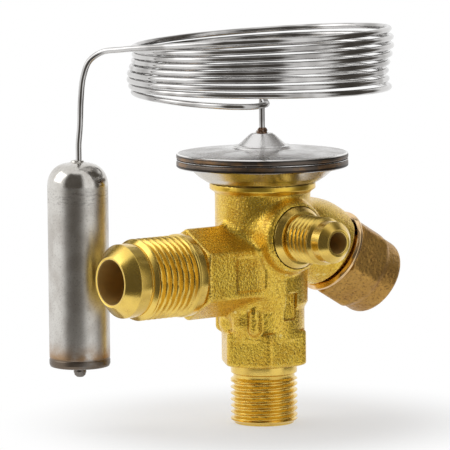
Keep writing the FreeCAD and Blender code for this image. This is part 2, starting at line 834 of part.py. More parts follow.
def bevel_space(teeth, pitch_angle, far):
    """One tooth space of a straight bevel gear, tapering to the apex at the origin."""
    pitch_r = cone_out * math.sin(pitch_angle)
    back_r = pitch_r / math.cos(pitch_angle)
    alpha = math.radians(pressure_angle)
    base_r = back_r * math.cos(alpha)
    space_half = (math.pi * pitch_r / teeth + backlash / 2) / (2 * pitch_r)

    def involute(angle):
        return math.tan(angle) - angle

    def half_angle(radius):
        local = math.acos(min(1.0, base_r / radius)) if radius > base_r else 0.0
        spread = involute(local) - involute(alpha)
        return space_half + spread * back_r / pitch_r

    def corner(radius, sign):
        step = radius - back_r
        r = pitch_r + step * math.cos(pitch_angle)
        h = cone_out * math.cos(pitch_angle) - step * math.sin(pitch_angle)
        angle = sign * max(half_angle(radius), 0.02)
        return V(r * math.cos(angle), r * math.sin(angle), h)

    radii = [back_r - dedendum, back_r - dedendum / 2, back_r, back_r + addendum / 2,
             back_r + addendum + tooth_over]
    outline = [corner(r, 1) for r in radii] + [corner(r, -1) for r in reversed(radii)]
    rings = []
    for plane in (far / 2, far * 1.25):
        points = [p * (plane / p.z) for p in outline]
        rings.append(Part.makePolygon(points + [points[0]]))
    return Part.makeLoft(rings, True, True)


def cut_teeth(blank, teeth, pitch_angle, first_angle):
    """The blank with its tooth spaces cut, the first space at the given angle."""
    spaces = []
    for i in range(teeth):
        space = bevel_space(teeth, pitch_angle, cone_out * math.cos(pitch_angle))
        space.rotate(ORIGIN, Z_AXIS, first_angle + 360.0 * i / teeth)
        spaces.append(space)
    return blank.cut(spaces)


def bevel_angles():
    """Pitch cone angles of the pinion and the ring for the angle between their axes."""
    shaft_angle = math.pi / 2 - TILT
    ratio = ring_teeth / pinion_teeth
    pinion = math.atan(math.sin(shaft_angle) / (ratio + math.cos(shaft_angle)))
    return pinion, shaft_angle - pinion


def tip_point(pitch_angle, distance):
    """Radius and distance along the axis of a tooth's tip on the pitch cone."""
    rise = addendum * distance / cone_out
    r = distance * math.sin(pitch_angle) + rise * math.cos(pitch_angle)
    h = distance * math.cos(pitch_angle) - rise * math.sin(pitch_angle)
    return r, h


def ring_gear():
    """The toothed nut on the chamber floor that lifts and lowers the spring seat."""
    pitch_angle = bevel_angles()[1]
    out_r, out_h = tip_point(pitch_angle, cone_out)
    in_r, in_h = tip_point(pitch_angle, cone_in)
    slope = math.tan(pitch_angle)
    bottom = apex_z - spring_floor_z - face_fit
    rim_h = out_h + (out_r - ring_rim_r) * slope
    hub_h = in_h + (in_r - ring_hub_r) * slope
    bore = seat_thread_r + run_fit
    blank = turned([
        (bore, bottom), (ring_rim_r, bottom), (ring_rim_r, rim_h), (out_r, out_h), (in_r, in_h),
        (ring_hub_r, hub_h), (ring_hub_r, apex_z - ring_hub_top_z), (bore, apex_z - ring_hub_top_z)])
    gear = cut_teeth(blank, ring_teeth, pitch_angle, 0)
    gear.rotate(ORIGIN, X_AXIS, 180)
    gear.translate(APEX)
    return gear


def adjusting_spindle():
    """The spindle with its bevel pinion, bearing collar, stem and square end."""
    pitch_angle = bevel_angles()[0]
    out_r, out_h = tip_point(pitch_angle, cone_out)
    in_r, in_h = tip_point(pitch_angle, cone_in)
    slope = math.tan(pitch_angle)
    neck_h = out_h + (out_r - spindle_neck_r) * slope
    blank = turned([
        (0, in_h), (in_r, in_h), (out_r, out_h), (spindle_neck_r, neck_h),
        (spindle_neck_r, spindle_collar_end), (0, spindle_collar_end)])
    pinion = cut_teeth(blank, pinion_teeth, pitch_angle, 180.0 / pinion_teeth)
    stem = turned([
        (0, spindle_collar_start), (spindle_collar_r - soft_edge, spindle_collar_start),
        (spindle_collar_r, spindle_collar_start + soft_edge),
        (spindle_collar_r, spindle_collar_end), (spindle_r, spindle_collar_end),
        (spindle_r, spindle_square_start), (0, spindle_square_start)])
    square_r = spindle_square_af / math.sqrt(2)
    square = prism(4, square_r, spindle_square_start, spindle_end, 45)
    nose = turned([(0, spindle_square_start), (square_r + run_fit, spindle_square_start),
                   (square_r + run_fit, spindle_end - soft_edge), (square_r - soft_edge, spindle_end),
                   (0, spindle_end)])
    whole = stem.fuse([pinion, square.common(nose)])
    return placed(whole.removeSplitter(), APEX, ADJUSTER)


# Superheat spring group

def spring_seat():
    """The flanged sleeve that the ring gear's thread lifts, notched for the guide pins."""
    flange_top = seat_flange_z + seat_flange_t
    rise_r = spring_r - spring_wire / 2 - soft_edge
    seat = turned([
        (seat_bore_r, seat_bottom_z), (seat_thread_r, seat_bottom_z), (seat_thread_r, seat_flange_z),
        (seat_flange_r, seat_flange_z), (seat_flange_r, flange_top), (rise_r, flange_top),
        (rise_r, flange_top + seat_rise), (seat_bore_r, flange_top + seat_rise)])
    notches = []
    for centre in guide_pin_centres():
        slot_r = guide_pin_r + run_fit
        outward = V(centre).normalize()
        notch = rod(slot_r, seat_flange_z - over, flange_top + over, centre)
        mouth = Part.makeBox(seat_flange_r, 2 * slot_r, seat_flange_t + 2 * over,
                             V(0, -slot_r, seat_flange_z - over))
        mouth.Placement = FreeCAD.Placement(centre, FreeCAD.Rotation(X_AXIS, outward))
        notches += [notch, mouth]
    return seat.cut(notches)


def guide_pins():
    """Two pins that stop the seat from turning."""
    pins = [rod(guide_pin_r, spring_floor_z - guide_pin_root, guide_pin_top_z, centre)
            for centre in guide_pin_centres()]
    return Part.makeCompound(pins)


def superheat_spring():
    return helix_spring(spring_r, spring_wire, seat_flange_z + seat_flange_t, plate_z, spring_turns)


def thrust_plate():
    """The plate under the diaphragm, with a hub for the spring and the rod."""
    top = plate_z + plate_t
    hub_bottom = plate_z - plate_hub_h
    return turned([
        (rod_r, hub_bottom), (plate_hub_r - soft_edge, hub_bottom), (plate_hub_r, hub_bottom + soft_edge),
        (plate_hub_r, plate_z), (plate_r, plate_z), (plate_r, top - soft_edge), (plate_r - soft_edge, top),
        (0, top), (0, rod_top_z), (rod_r, rod_top_z)])


def push_rod():
    return turned([
        (0, rod_bottom_z), (rod_r - soft_edge, rod_bottom_z), (rod_r, rod_bottom_z + soft_edge),
        (rod_r, rod_top_z), (0, rod_top_z)])


def rod_guide():
    """The bush pressed between the two chambers, with a pocket for the rod's seal."""
    bore = rod_r + run_fit
    pocket_r = bore + 2 * seal_wire_r
    return turned([
        (bore, guide_bottom_z), (guide_r, guide_bottom_z), (guide_r, spring_floor_z),
        (pocket_r, spring_floor_z), (pocket_r, seal_pocket_z), (bore, seal_pocket_z)])


def rod_seal():
    return ring(rod_r + run_fit + seal_wire_r, seal_wire_r, seal_z)


# Adjuster gland

def gland_washer():
    start = spindle_collar_end + face_fit
    return tube(spindle_bore_r, spindle_r + run_fit, start, start + washer_t, APEX, ADJUSTER)


def spindle_seal():
    start = spindle_collar_end + face_fit + washer_t
    middle = (start + packing_start) / 2
    return ring(spindle_r + run_fit + ring_section_r, ring_section_r, middle, APEX, ADJUSTER)


def packing_ring():
    return tube(spindle_bore_r, spindle_r + run_fit, packing_start, packing_end, APEX, ADJUSTER)


def gland_nut():
    """The nut that presses the packing, slotted across its outer face."""
    bore = spindle_r + run_fit
    nut = turned([
        (bore, packing_end), (spindle_bore_r, packing_end), (spindle_bore_r, gland_start),
        (gland_thread_r, gland_start), (gland_thread_r, gland_end - soft_edge),
        (gland_thread_r - soft_edge, gland_end), (bore, gland_end)])
    slot = Part.makeBox(2 * (gland_thread_r + over), gland_slot_w, gland_slot_depth + over,
                        V(-gland_thread_r - over, -gland_slot_w / 2, gland_end - gland_slot_depth))
    return placed(nut.cut(slot), APEX, ADJUSTER)


# Cap

def cap_gasket():
    return tube(spigot_r - face_fit, cap_cavity_r + face_fit, spigot_end, spigot_end + cap_gasket_t,
                APEX, ADJUSTER)


def cap_nut():
    """The hexagonal seal cap, bored for the spigot, the gasket and the spindle's end."""
    near = boss_end + cap_near_gap
    shoulder = spigot_end + cap_gasket_t
    bore = spigot_r + cap_thread_fit
    near_cut = (cap_near_chamfer, cap_near_chamfer * CHAMFER_SLOPE)
    outside = wrench_hex(cap_af, near, cap_hex_end, cap_clock, near_cut,
                         (cap_far_chamfer, cap_far_chamfer))
    crown = rod(cap_round_r, spigot_end, cap_end)
    crown = crown.makeFillet(cap_round_edge, edges_near(
        crown, lambda m, e: abs(m.z - cap_end) < 1e-6 and e.Closed))
    inside = turned([
        (0, near - over), (bore + cap_mouth + over, near - over), (bore, near + cap_mouth),
        (bore, shoulder), (cap_cavity_r, shoulder), (cap_cavity_r, cap_cavity_end),
        (0, cap_cavity_end + cap_drill_tip)])
    return placed(outside.fuse(crown).cut(inside).removeSplitter(), APEX, ADJUSTER)


# Orifice cartridge and strainer

def orifice_body():
    """The exchangeable cartridge that carries the seat."""
    groove_r = orifice_r - o_ring_wire_r * 2 + o_ring_squeeze
    half = o_ring_wire_r + face_fit
    return turned([
        (orifice_cavity_r, orifice_flange_z), (orifice_flange_r - soft_edge, orifice_flange_z),
        (orifice_flange_r, orifice_flange_z + soft_edge),
        (orifice_flange_r, orifice_step_z - face_fit), (orifice_r, orifice_step_z - face_fit),
        (orifice_r, o_ring_z - half), (groove_r, o_ring_z - half),
        (groove_r, o_ring_z + half), (orifice_r, o_ring_z + half), (orifice_r, orifice_top_z - soft_edge),
        (orifice_r - soft_edge, orifice_top_z), (seat_hole_r, orifice_top_z), (seat_hole_r, seat_edge_z),
        (orifice_cavity_r, orifice_cone_z)])


def orifice_seal():
    return ring(orifice_r + o_ring_squeeze - o_ring_wire_r, o_ring_wire_r, o_ring_z)


def metering_pin():
    """The cone that closes the seat from below, with its guided stem."""
    return turned([
        (0, pin_stem_bottom_z), (pin_stem_r, pin_stem_bottom_z), (pin_stem_r, pin_collar_z),
        (pin_collar_r, pin_collar_z), (pin_collar_r, pin_collar_z + pin_collar_t),
        (pin_stem_r, pin_collar_z + pin_collar_t), (pin_stem_r, pin_head_z - pin_head_t),
        (pin_head_r, pin_head_z - pin_head_t + soft_edge), (pin_head_r, pin_head_z),
        (rod_r, rod_bottom_z),
        (0, rod_bottom_z)])


def cone_spring():
    return helix_spring(cone_spring_r, cone_spring_wire, retainer_z + retainer_t, pin_collar_z,
                        cone_spring_turns)


def spring_retainer():
    """The drilled disc that holds the cone's spring and guides its stem."""
    disc = tube(orifice_cavity_r, pin_stem_r + run_fit, retainer_z, retainer_z + retainer_t)
    holes = []
    for i in range(retainer_holes):
        angle = 2 * math.pi * i / retainer_holes
        centre = V(retainer_hole_at * math.cos(angle), retainer_hole_at * math.sin(angle), 0)
        holes.append(rod(retainer_hole_r, retainer_z - over, retainer_z + retainer_t + over, centre))
    return disc.cut(holes)


def strainer_collar():
    """The ring that holds the strainer in the inlet's mouth."""
    outer = inlet_bore_r - braze_gap
    return turned([
        (strainer_mouth_r, strainer_mouth_z + soft_edge),
        (strainer_mouth_r + soft_edge, strainer_mouth_z),
        (outer, strainer_mouth_z), (outer, strainer_collar_top_z),
        (strainer_mouth_r, strainer_collar_top_z)])


def strainer_mesh():
    """The perforated cone that catches dirt before the orifice."""
    cone = turned([
        (mesh_foot_r, strainer_collar_top_z), (mesh_foot_r + mesh_t, strainer_collar_top_z),
        (mesh_top_r + mesh_t, mesh_top_z), (mesh_top_r, mesh_top_z + mesh_t),
        (0, mesh_top_z + mesh_t), (0, mesh_top_z), (mesh_top_r, mesh_top_z)])
    row_h = (mesh_top_z - strainer_collar_top_z) / mesh_rows
    holes = []
    for row in range(mesh_rows):
        z = strainer_collar_top_z + row_h * (row + 0.5)
        for column in range(mesh_columns):
            angle = 360.0 * (column + 0.5 * (row % 2)) / mesh_columns
            hole = Part.makeBox(mesh_foot_r, mesh_hole_w, mesh_hole_h,
                                V(over, -mesh_hole_w / 2, z - mesh_hole_h / 2))
            hole.rotate(ORIGIN, Z_AXIS, angle)
            holes.append(hole)
    return cone.cut(holes)


NODES = {
    "valve_body": valve_body,
    "upper_case": upper_case,
    "lower_case": lower_case,
    "diaphragm": diaphragm,
    "braze_bead": braze_bead,
    "capillary_tube": capillary_tube,
    "sensor_bulb": sensor_bulb,
    "charge_pip": charge_pip,
    "ring_gear": ring_gear,
    "adjusting_spindle": adjusting_spindle,
    "spring_seat": spring_seat,
    "guide_pins": guide_pins,
    "superheat_spring": superheat_spring,
    "thrust_plate": thrust_plate,
    "push_rod": push_rod,
    "rod_guide": rod_guide,
    "rod_seal": rod_seal,
    "gland_washer": gland_washer,
    "spindle_seal": spindle_seal,
    "packing_ring": packing_ring,
    "gland_nut": gland_nut,
    "cap_gasket": cap_gasket,
    "cap_nut": cap_nut,
    "orifice_body": orifice_body,
    "orifice_seal": orifice_seal,
    "metering_pin": metering_pin,
    "cone_spring": cone_spring,
    "spring_retainer": spring_retainer,
    "strainer_collar": strainer_collar,
    "strainer_mesh": strainer_mesh,
}

os.makedirs("parts", exist_ok=True)
for name, make in NODES.items():
    shape = make()
    shape.exportStep("parts/" + name + ".step")
    print(name, len(shape.Solids), round(shape.Volume, 2), shape.isValid())
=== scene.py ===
import json
import math

import bpy
import numpy as np
from mathutils import Matrix, Vector

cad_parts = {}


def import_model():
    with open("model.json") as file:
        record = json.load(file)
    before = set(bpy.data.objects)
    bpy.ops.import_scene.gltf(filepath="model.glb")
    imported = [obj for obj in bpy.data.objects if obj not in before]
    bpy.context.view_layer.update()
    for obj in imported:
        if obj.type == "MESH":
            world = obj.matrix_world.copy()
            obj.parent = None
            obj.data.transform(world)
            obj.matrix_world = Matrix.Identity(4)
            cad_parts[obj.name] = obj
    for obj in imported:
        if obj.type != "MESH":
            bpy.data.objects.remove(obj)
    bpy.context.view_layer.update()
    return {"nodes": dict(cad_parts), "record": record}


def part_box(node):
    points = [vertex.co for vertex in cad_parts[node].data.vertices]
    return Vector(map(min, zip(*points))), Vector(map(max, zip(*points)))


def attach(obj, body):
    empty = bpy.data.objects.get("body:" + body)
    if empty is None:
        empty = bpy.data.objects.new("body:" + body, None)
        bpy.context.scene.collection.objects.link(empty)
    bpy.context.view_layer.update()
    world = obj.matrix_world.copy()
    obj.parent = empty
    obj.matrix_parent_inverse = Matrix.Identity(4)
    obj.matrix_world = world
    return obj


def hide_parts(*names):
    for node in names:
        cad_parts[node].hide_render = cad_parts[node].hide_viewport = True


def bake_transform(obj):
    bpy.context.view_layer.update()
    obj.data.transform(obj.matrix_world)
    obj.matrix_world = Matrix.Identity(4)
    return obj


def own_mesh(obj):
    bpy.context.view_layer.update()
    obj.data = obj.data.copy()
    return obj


# Looks of a refrigerant expansion valve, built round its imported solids.
# Shapes are worked out in millimetres and written in metres.

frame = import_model()
MM = 0.001

# Camera: where the photograph was taken from, in degrees and millimetres
camera_eye = (-593.16, -765.08, 156.30)
camera_aim = (-7.1, 5.4, 46.14)
camera_roll = -0.498
camera_lens = 330.3
sensor_w = 36.0

# Body
hex_af = 18.9
hex_corner_r = hex_af / 3 ** 0.5
lower_hex_z = 13.1
waist_z = 21.55
waist_top_z = 26.95
waist_r = 9.7
inlet_bore_r = 5.6
body_r = 10.5
shoulder_z = 43.5
neck_foot_z = 45.5
neck_r = 11.27
flare_z = 54.05
lip_z = 54.95
lip_r = 12.5
neck_top_z = 56.25
outlet_z = 36.11
outlet_hex_x = 22.95
outlet_bore_r = 5.23
equalizer_z = 44.27
equalizer_boss_r = 8.6
equalizer_boss_y = 13.8
equalizer_bore_r = 2.47
apex_z = 50.1
tilt = math.radians(30.0)
boss_r = 9.9
boss_end = 22.3
boss_edge = 1.0
boss_top_z = 51.9
pad_angle = math.radians(157.5)
# The forged lobes: how far out, how far across, radius, and the heights of their round ends
pad_lobes = ((8.2, -0.7, 2.85, 23.4, 31.0), (9.5, 2.95, 1.4, 22.3, 26.4))
recess_middle_x = -10.3
recess_half = (4.6, 0.35, 4.2)
pocket_at = (0.5, -body_r, 27.6)
pocket_half = (1.75, 1.5, 3.2)
corner_turned = 0.9         # how far a hex's corners are turned down at its end
chamfer_slope = 0.577       # of a 30 degree chamfer

# Threads
inlet_r = 7.9375
inlet_pitch = 1.47
outlet_r = 9.525
outlet_pitch = 1.5875
equalizer_r = 5.556
equalizer_pitch = 1.39
spigot_r = 7.0
spigot_pitch = 1.0
thread_depth = 0.60         # of the pitch

# Cap
cap_ring_r = 10.3
cap_near = boss_end + 0.4   # where its mouth stands, off the boss
cap_bore_r = 7.06
cap_clock = math.radians(-12.0)

# Element
case_r = 20.27
weld_z = 61.7
case_bottom_z = 59.95
case_top_z = 63.33
diaphragm_t = 0.15
stem_hole_z = 67.95
stem_hole_r = 0.72

# Capillary and bulb
tube_r = 0.70
coil_r = 30.15
coil_start = math.radians(142.7)
coil_turns = 7.67
coil_low_z = 77.8
coil_rise = 1.71            # each turn
bulb_at = (-41.0, 17.4)
bulb_r = 7.14
bulb_bottom_z = 14.4
bulb_shoulder_z = 57.0
bulb_top_z = 62.9

ADJUSTER = np.array([math.cos(tilt), 0.0, -math.sin(tilt)])
APEX = np.array([0.0, 0.0, apex_z])
OUTLET = np.array([-1.0, 0.0, 0.0])
EQUALIZER = np.array([0.0, -1.0, 0.0])
UP = np.array([0.0, 0.0, 1.0])
LEVEL = np.array([1.0, 0.0, 0.0])
OUTLET_AT = (0, 0, outlet_z)
EQUALIZER_AT = (0, 0, equalizer_z)


# Meshes

def new_object(name, points, faces, sharp_angle=30.0):
    """An object from points in millimetres, smooth but for its sharp edges."""
    mesh = bpy.data.meshes.new(name)
    mesh.from_pydata((np.asarray(points) * MM).tolist(), [], [tuple(f) for f in faces])
    mesh.validate()
    mesh.update()
    mesh.shade_smooth()
    mesh.set_sharp_from_angle(angle=math.radians(sharp_angle))
    obj = bpy.data.objects.new(name, mesh)
    bpy.context.scene.collection.objects.link(obj)
    return obj


def basis(axis):
    """Two directions square to an axis, the first as level as can be."""
    axis = np.asarray(axis, float)
    side = np.cross(UP, axis)
    if np.linalg.norm(side) < 1e-6:
        side = np.array([1.0, 0.0, 0.0])
    side = side / np.linalg.norm(side)
    return side, np.cross(axis, side)


def rounded(outline, radius, closed):
    """The outline with each corner turned into a short arc."""
    steps = 4
    pts = [np.array(p, float) for p in outline]
    out = []
    count = len(pts)
    for i, p in enumerate(pts):
        if not closed and i in (0, count - 1):
            out.append(p)
            continue
        a, b = pts[i - 1], pts[(i + 1) % count]
        la, lb = np.linalg.norm(a - p), np.linalg.norm(b - p)
        ua, ub = (a - p) / la, (b - p) / lb
        turn = math.pi - math.acos(float(np.clip(ua @ ub, -1, 1)))
        if turn < 0.15 or p[0] < 1e-6:
            out.append(p)
            continue
        reach = min(radius * math.tan(turn / 2), 0.45 * la, 0.45 * lb)
        p0, p1 = p + ua * reach, p + ub * reach
        for k in range(steps + 1):
            t = k / steps
            out.append((1 - t) ** 2 * p0 + 2 * t * (1 - t) * p + t ** 2 * p1)
    return out


def thread_cut(phase):
    """Depth of a thread's groove, 0 on the crest and 1 at the root."""
    rise = 1 - np.abs(2 * np.mod(phase, 1.0) - 1)
    flat = np.clip((rise - 0.10) / 0.72, 0, 1)
    return flat * flat * (3 - 2 * flat) * 0.35 + flat * 0.65


def turned(name, outline, base=(0, 0, 0), axis=UP, segments=128, edge=0.15, thread=None,
           sharp_angle=35.0):
    """A turned piece from (radius, distance) points, open or closed, threaded where asked."""
    closed = len(outline) > 2 and outline[0][0] > 0 and outline[-1][0] > 0
    pts = rounded(outline, edge, closed)
    if closed:
        pts.append(pts[0])
    profile = [pts[0]]
    for a, b in zip(pts, pts[1:]):
        length = np.linalg.norm(b - a)
        parts = 1
        if thread and abs(a[0] - b[0]) < 1e-6 and abs(a[0] - thread["r"]) < 1e-6:
            parts = max(1, int(abs(b[1] - a[1]) / thread["pitch"] * 14))
        elif length > 6:
            parts = int(length / 3)
        profile += [a + (b - a) * k / parts for k in range(1, parts + 1)]
    profile = np.array(profile)
    if closed:
        profile = profile[:-1]
    angle = np.linspace(0, 2 * math.pi, segments, endpoint=False)
    r = np.repeat(profile[:, :1], segments, 1)
    h = np.repeat(profile[:, 1:], segments, 1)
    if thread:
        on = (np.abs(profile[:, 0] - thread["r"]) < 1e-3)[:, None]
        phase = (h - thread["start"]) / thread["pitch"] - angle[None, :] / (2 * math.pi)
        fade_low = np.clip((h - thread["start"]) / (0.6 * thread["pitch"]), 0, 1)
        fade_high = np.clip((thread["end"] - h) / (0.35 * thread["pitch"]), 0, 1)
        depth = thread_depth * thread["pitch"] * thread_cut(phase) * fade_low * fade_high
        r = np.where(on, r - depth, r)
    side, other = basis(axis)
    ring = np.cos(angle)[None, :, None] * side + np.sin(angle)[None, :, None] * other
    grid = np.asarray(base, float) + h[..., None] * np.asarray(axis, float) + r[..., None] * ring
    rows = len(profile)
    points = []
    index = np.zeros((rows, segments), int)
    for i in range(rows):
        if profile[i, 0] < 1e-6:
            index[i] = len(points)
            points.append(grid[i, 0])
        else:
            index[i] = len(points) + np.arange(segments)
            points.extend(grid[i])
    faces = []
    for i in range(rows if closed else rows - 1):
        low, high = index[i], index[(i + 1) % rows]
        for j in range(segments):
            k = (j + 1) % segments
            loop = [low[j], low[k], high[k], high[j]]
            face = [v for n, v in enumerate(loop) if v not in loop[:n]]
            if len(face) > 2:
                faces.append(face)
    return new_object(name, points, faces, sharp_angle)


def tube_faces(rings, sides):
    """Quads between rings of points."""
    faces = []
    for i in range(rings - 1):
        for j in range(sides):
            k = (j + 1) % sides
            faces.append((i * sides + j, i * sides + k, (i + 1) * sides + k, (i + 1) * sides + j))
    return faces


def end_faces(rings, sides):
    """A face over each end of such a tube."""
    return [tuple(range(sides))[::-1], tuple((rings - 1) * sides + j for j in range(sides))]


# Solid fields: distance-like functions, negative inside

def soft_min(a, b, k):
    """Union with a fillet of about k."""
    h = np.clip(0.5 + 0.5 * (b - a) / k, 0, 1)
    return b + (a - b) * h - k * h * (1 - h)


def soft_max(a, b, k):
    """Intersection with an edge rounded by about k."""
    return -soft_min(-a, -b, k)


def along(p, base, axis):
    """Distance along an axis and out from it."""
    q = p - np.asarray(base, p.dtype)
    t = q @ np.asarray(axis, p.dtype)
    out = np.sqrt(np.maximum((q * q).sum(-1) - t * t, 1e-12))
    return t, out


def rod_field(p, base, axis, radius, start, end, edge):
    """A round rod between two distances along its axis."""
    t, out = along(p, base, axis)
    return soft_max(out - radius, np.maximum(start - t, t - end), edge)


def hex_field(p, base, axis, corner, start, end, edge, turned_end=None):
    """A hex prism with one corner towards the given direction.

    turned_end, -1 for the start and 1 for the end, has its corners turned off.
    """
    axis = np.asarray(axis, p.dtype)
    corner = np.asarray(corner, p.dtype)
    q = p - np.asarray(base, p.dtype)
    t = q @ axis
    u = q @ corner
    v = q @ np.cross(axis, corner).astype(p.dtype)
    d = None
    for i in range(3):
        a = math.radians(30 + 60 * i)
        face = np.abs(u * math.cos(a) + v * math.sin(a)) - hex_af / 2
        d = face if d is None else soft_max(d, face, edge)
    d = soft_max(d, np.maximum(start - t, t - end), edge)
    if turned_end:
        out = np.sqrt(u * u + v * v)
        inward = end - t if turned_end > 0 else t - start
        cone = (out - hex_corner_r + corner_turned) * chamfer_slope - inward
        d = soft_max(d, cone * 0.87, edge * 0.6)
    return d


def box_field(p, centre, half, edge):
    """A box square to the frame."""
    q = np.abs(p - np.asarray(centre, p.dtype))
    d = q[..., 0] - half[0]
    for axis in (1, 2):
        d = soft_max(d, q[..., axis] - half[axis], edge)
    return d


def surface(field, low, high, step):
    """A quad mesh of the field's zero, each corner moved on to it."""
    low = np.asarray(low, float)
    counts = [int(math.ceil((h - l) / step)) + 1 for l, h in zip(low, high)]
    axes = [low[i] + step * np.arange(counts[i]) for i in range(3)]
    f = np.empty(counts, np.float32)
    for i, x in enumerate(axes[0]):
        y, z = np.meshgrid(axes[1], axes[2], indexing="ij")
        p = np.stack([np.full_like(y, x), y, z], -1).astype(np.float32)
        f[i] = field(p)
    inside = f < 0
    cell = [n - 1 for n in counts]
    corners = [(a, b, c) for a in (0, 1) for b in (0, 1) for c in (0, 1)]

    def view(array, offset):
        return array[tuple(slice(o, o + n) for o, n in zip(offset, cell))]

    total = sum(view(inside, offset).astype(np.uint8) for offset in corners)
    active = (total > 0) & (total < 8)
    where = np.argwhere(active)
    index = np.full(cell, -1, np.int64)
    index[active] = np.arange(len(where))
    point = np.zeros((len(where), 3))
    hits = np.zeros(len(where))
    for axis in range(3):
        for offset in corners:
            if offset[axis]:
                continue
            other = list(offset)
            other[axis] = 1
            a = view(f, offset)[active].astype(float)
            b = view(f, tuple(other))[active].astype(float)
            cross = (a < 0) != (b < 0)
            t = np.where(cross, a / np.where(cross, a - b, 1), 0)
            place = np.array(offset, float) + np.eye(3)[axis] * t[:, None]
            point += np.where(cross[:, None], place, 0)
            hits += cross
    point = low + step * (where + point / hits[:, None])
    for _ in range(3):
        point = settle(field, point)
    faces = []
    for axis in range(3):
        b, c = [n for n in range(3) if n != axis]
        at = np.argwhere(np.diff(inside, axis=axis))
        at = at[(at[:, b] > 0) & (at[:, c] > 0) & (at[:, b] < cell[b]) & (at[:, c] < cell[c])]
        filled = inside[tuple(at.T)]
        back_b, back_c = np.eye(3, dtype=int)[[b, c]]
        quad = [at - back_b - back_c, at - back_c, at, at - back_b]
        quad = np.stack([index[tuple(q.T)] for q in quad], 1)
        flip = filled if axis == 1 else ~filled
        quad[flip] = quad[flip][:, ::-1]
        faces.append(quad)
    return point, np.concatenate(faces)


def settle(field, point, reach=0.04):
    """One step of each point towards the field's zero."""
    p = point.astype(np.float64)
    value = field(p)
    grad = np.empty_like(p)
    for axis in range(3):
        shift = np.eye(3)[axis] * reach
        grad[:, axis] = (field(p + shift) - field(p - shift)) / (2 * reach)
    size = np.maximum((grad * grad).sum(1), 0.05)
    limit = 0.3
    return p + grad * np.clip(-value / size, -limit, limit)[:, None]


# Node helper

class Nodes:
    """Short ways to build one node tree."""

    def __init__(self, tree):
        self.tree = tree

    def add(self, kind, inputs=None, **settings):
        node = self.tree.nodes.new("ShaderNode" + kind)
        for key, value in settings.items():
            setattr(node, key, value)
        for key, value in (inputs or {}).items():
            self.put(node.inputs[key], value)
        return node

    def put(self, socket, value):
        if isinstance(value, bpy.types.NodeSocket):
            self.tree.links.new(value, socket)
        elif isinstance(value, (tuple, list)) and len(value) == 3 and socket.type == "RGBA":
            socket.default_value = (*value, 1.0)
        else:
            socket.default_value = value

    def math(self, operation, a, b=0.0, c=0.0):
        return self.add("Math", {0: a, 1: b, 2: c}, operation=operation).outputs[0]

    def plus(self, a, b):
        return self.math("ADD", a, b)

    def minus(self, a, b):
        return self.math("SUBTRACT", a, b)

    def times(self, a, b):
        return self.math("MULTIPLY", a, b)

    def vector(self, operation, a, b=(0, 0, 0)):
        node = self.add("VectorMath", {0: a, 1: b}, operation=operation)
        return node.outputs["Value" if operation in ("DOT_PRODUCT", "LENGTH") else "Vector"]

    def noise(self, vector, size, detail=3.0, rough=0.55):
        """Noise whose lumps are about size millimetres across."""
        node = self.add("TexNoise", {"Vector": vector, "Scale": 1.0 / size, "Detail": detail,
                                     "Roughness": rough})
        return node.outputs["Fac"]

    def cells(self, vector, size):
        """Distance from scattered points about size millimetres apart."""
        node = self.add("TexVoronoi", {"Vector": vector, "Scale": 1.0 / size})
        return node.outputs["Distance"]

    def ramp(self, value, stops):
        node = self.add("ValToRGB", {"Fac": value})
        elements = node.color_ramp.elements
        while len(elements) < len(stops):
            elements.new(0.5)
        for element, (at, colour) in zip(elements, stops):
            element.position = at
            if not isinstance(colour, (tuple, list)):
                colour = (colour, colour, colour)
            element.color = (*colour, 1.0)
        return node.outputs["Color"]

    def mix(self, factor, a, b):
        node = self.add("Mix", {"Factor": factor}, data_type="RGBA")
        self.put(node.inputs[6], a)
        self.put(node.inputs[7], b)
        return node.outputs[2]

    def range(self, value, low, high, to_low=0.0, to_high=1.0):
        """A smooth step between two values, as the input goes from low to high."""
        node = self.add("MapRange", {"Value": value, "From Min": low, "From Max": high,
                                     "To Min": to_low, "To Max": to_high},
                        interpolation_type="SMOOTHSTEP")
        return node.outputs["Result"]

    def bump(self, height, depth_mm):
        return self.add("Bump", {"Height": height, "Distance": depth_mm * MM}).outputs["Normal"]

    def pair(self, a, b):
        """A vector of two values, to measure or to look up noise by."""
        return self.add("CombineXYZ", {0: a, 1: b}).outputs[0]

    def place(self):
        """Object coordinates in millimetres, and their three parts."""
        where = self.add("TexCoord").outputs["Object"]
        scaled = self.vector("MULTIPLY", where, (1 / MM, 1 / MM, 1 / MM))
        parts = self.add("SeparateXYZ", {0: scaled})
        return scaled, parts.outputs[0], parts.outputs[1], parts.outputs[2]


def material(name, build, metallic=1.0, **extra):
    """A material whose shader takes what is given, then what build(nodes) works out."""
    mat = bpy.data.materials.new(name)
    mat.use_nodes = True
    nodes = Nodes(mat.node_tree)
    shader = mat.node_tree.nodes["Principled BSDF"]
    for key, value in {"Metallic": metallic, **extra, **build(nodes)}.items():
        nodes.put(shader.inputs[key], value)
    return mat


# Materials

brass_light = (0.92, 0.62, 0.065)
brass_deep = (0.80, 0.49, 0.040)
brass_stain = (0.42, 0.22, 0.022)


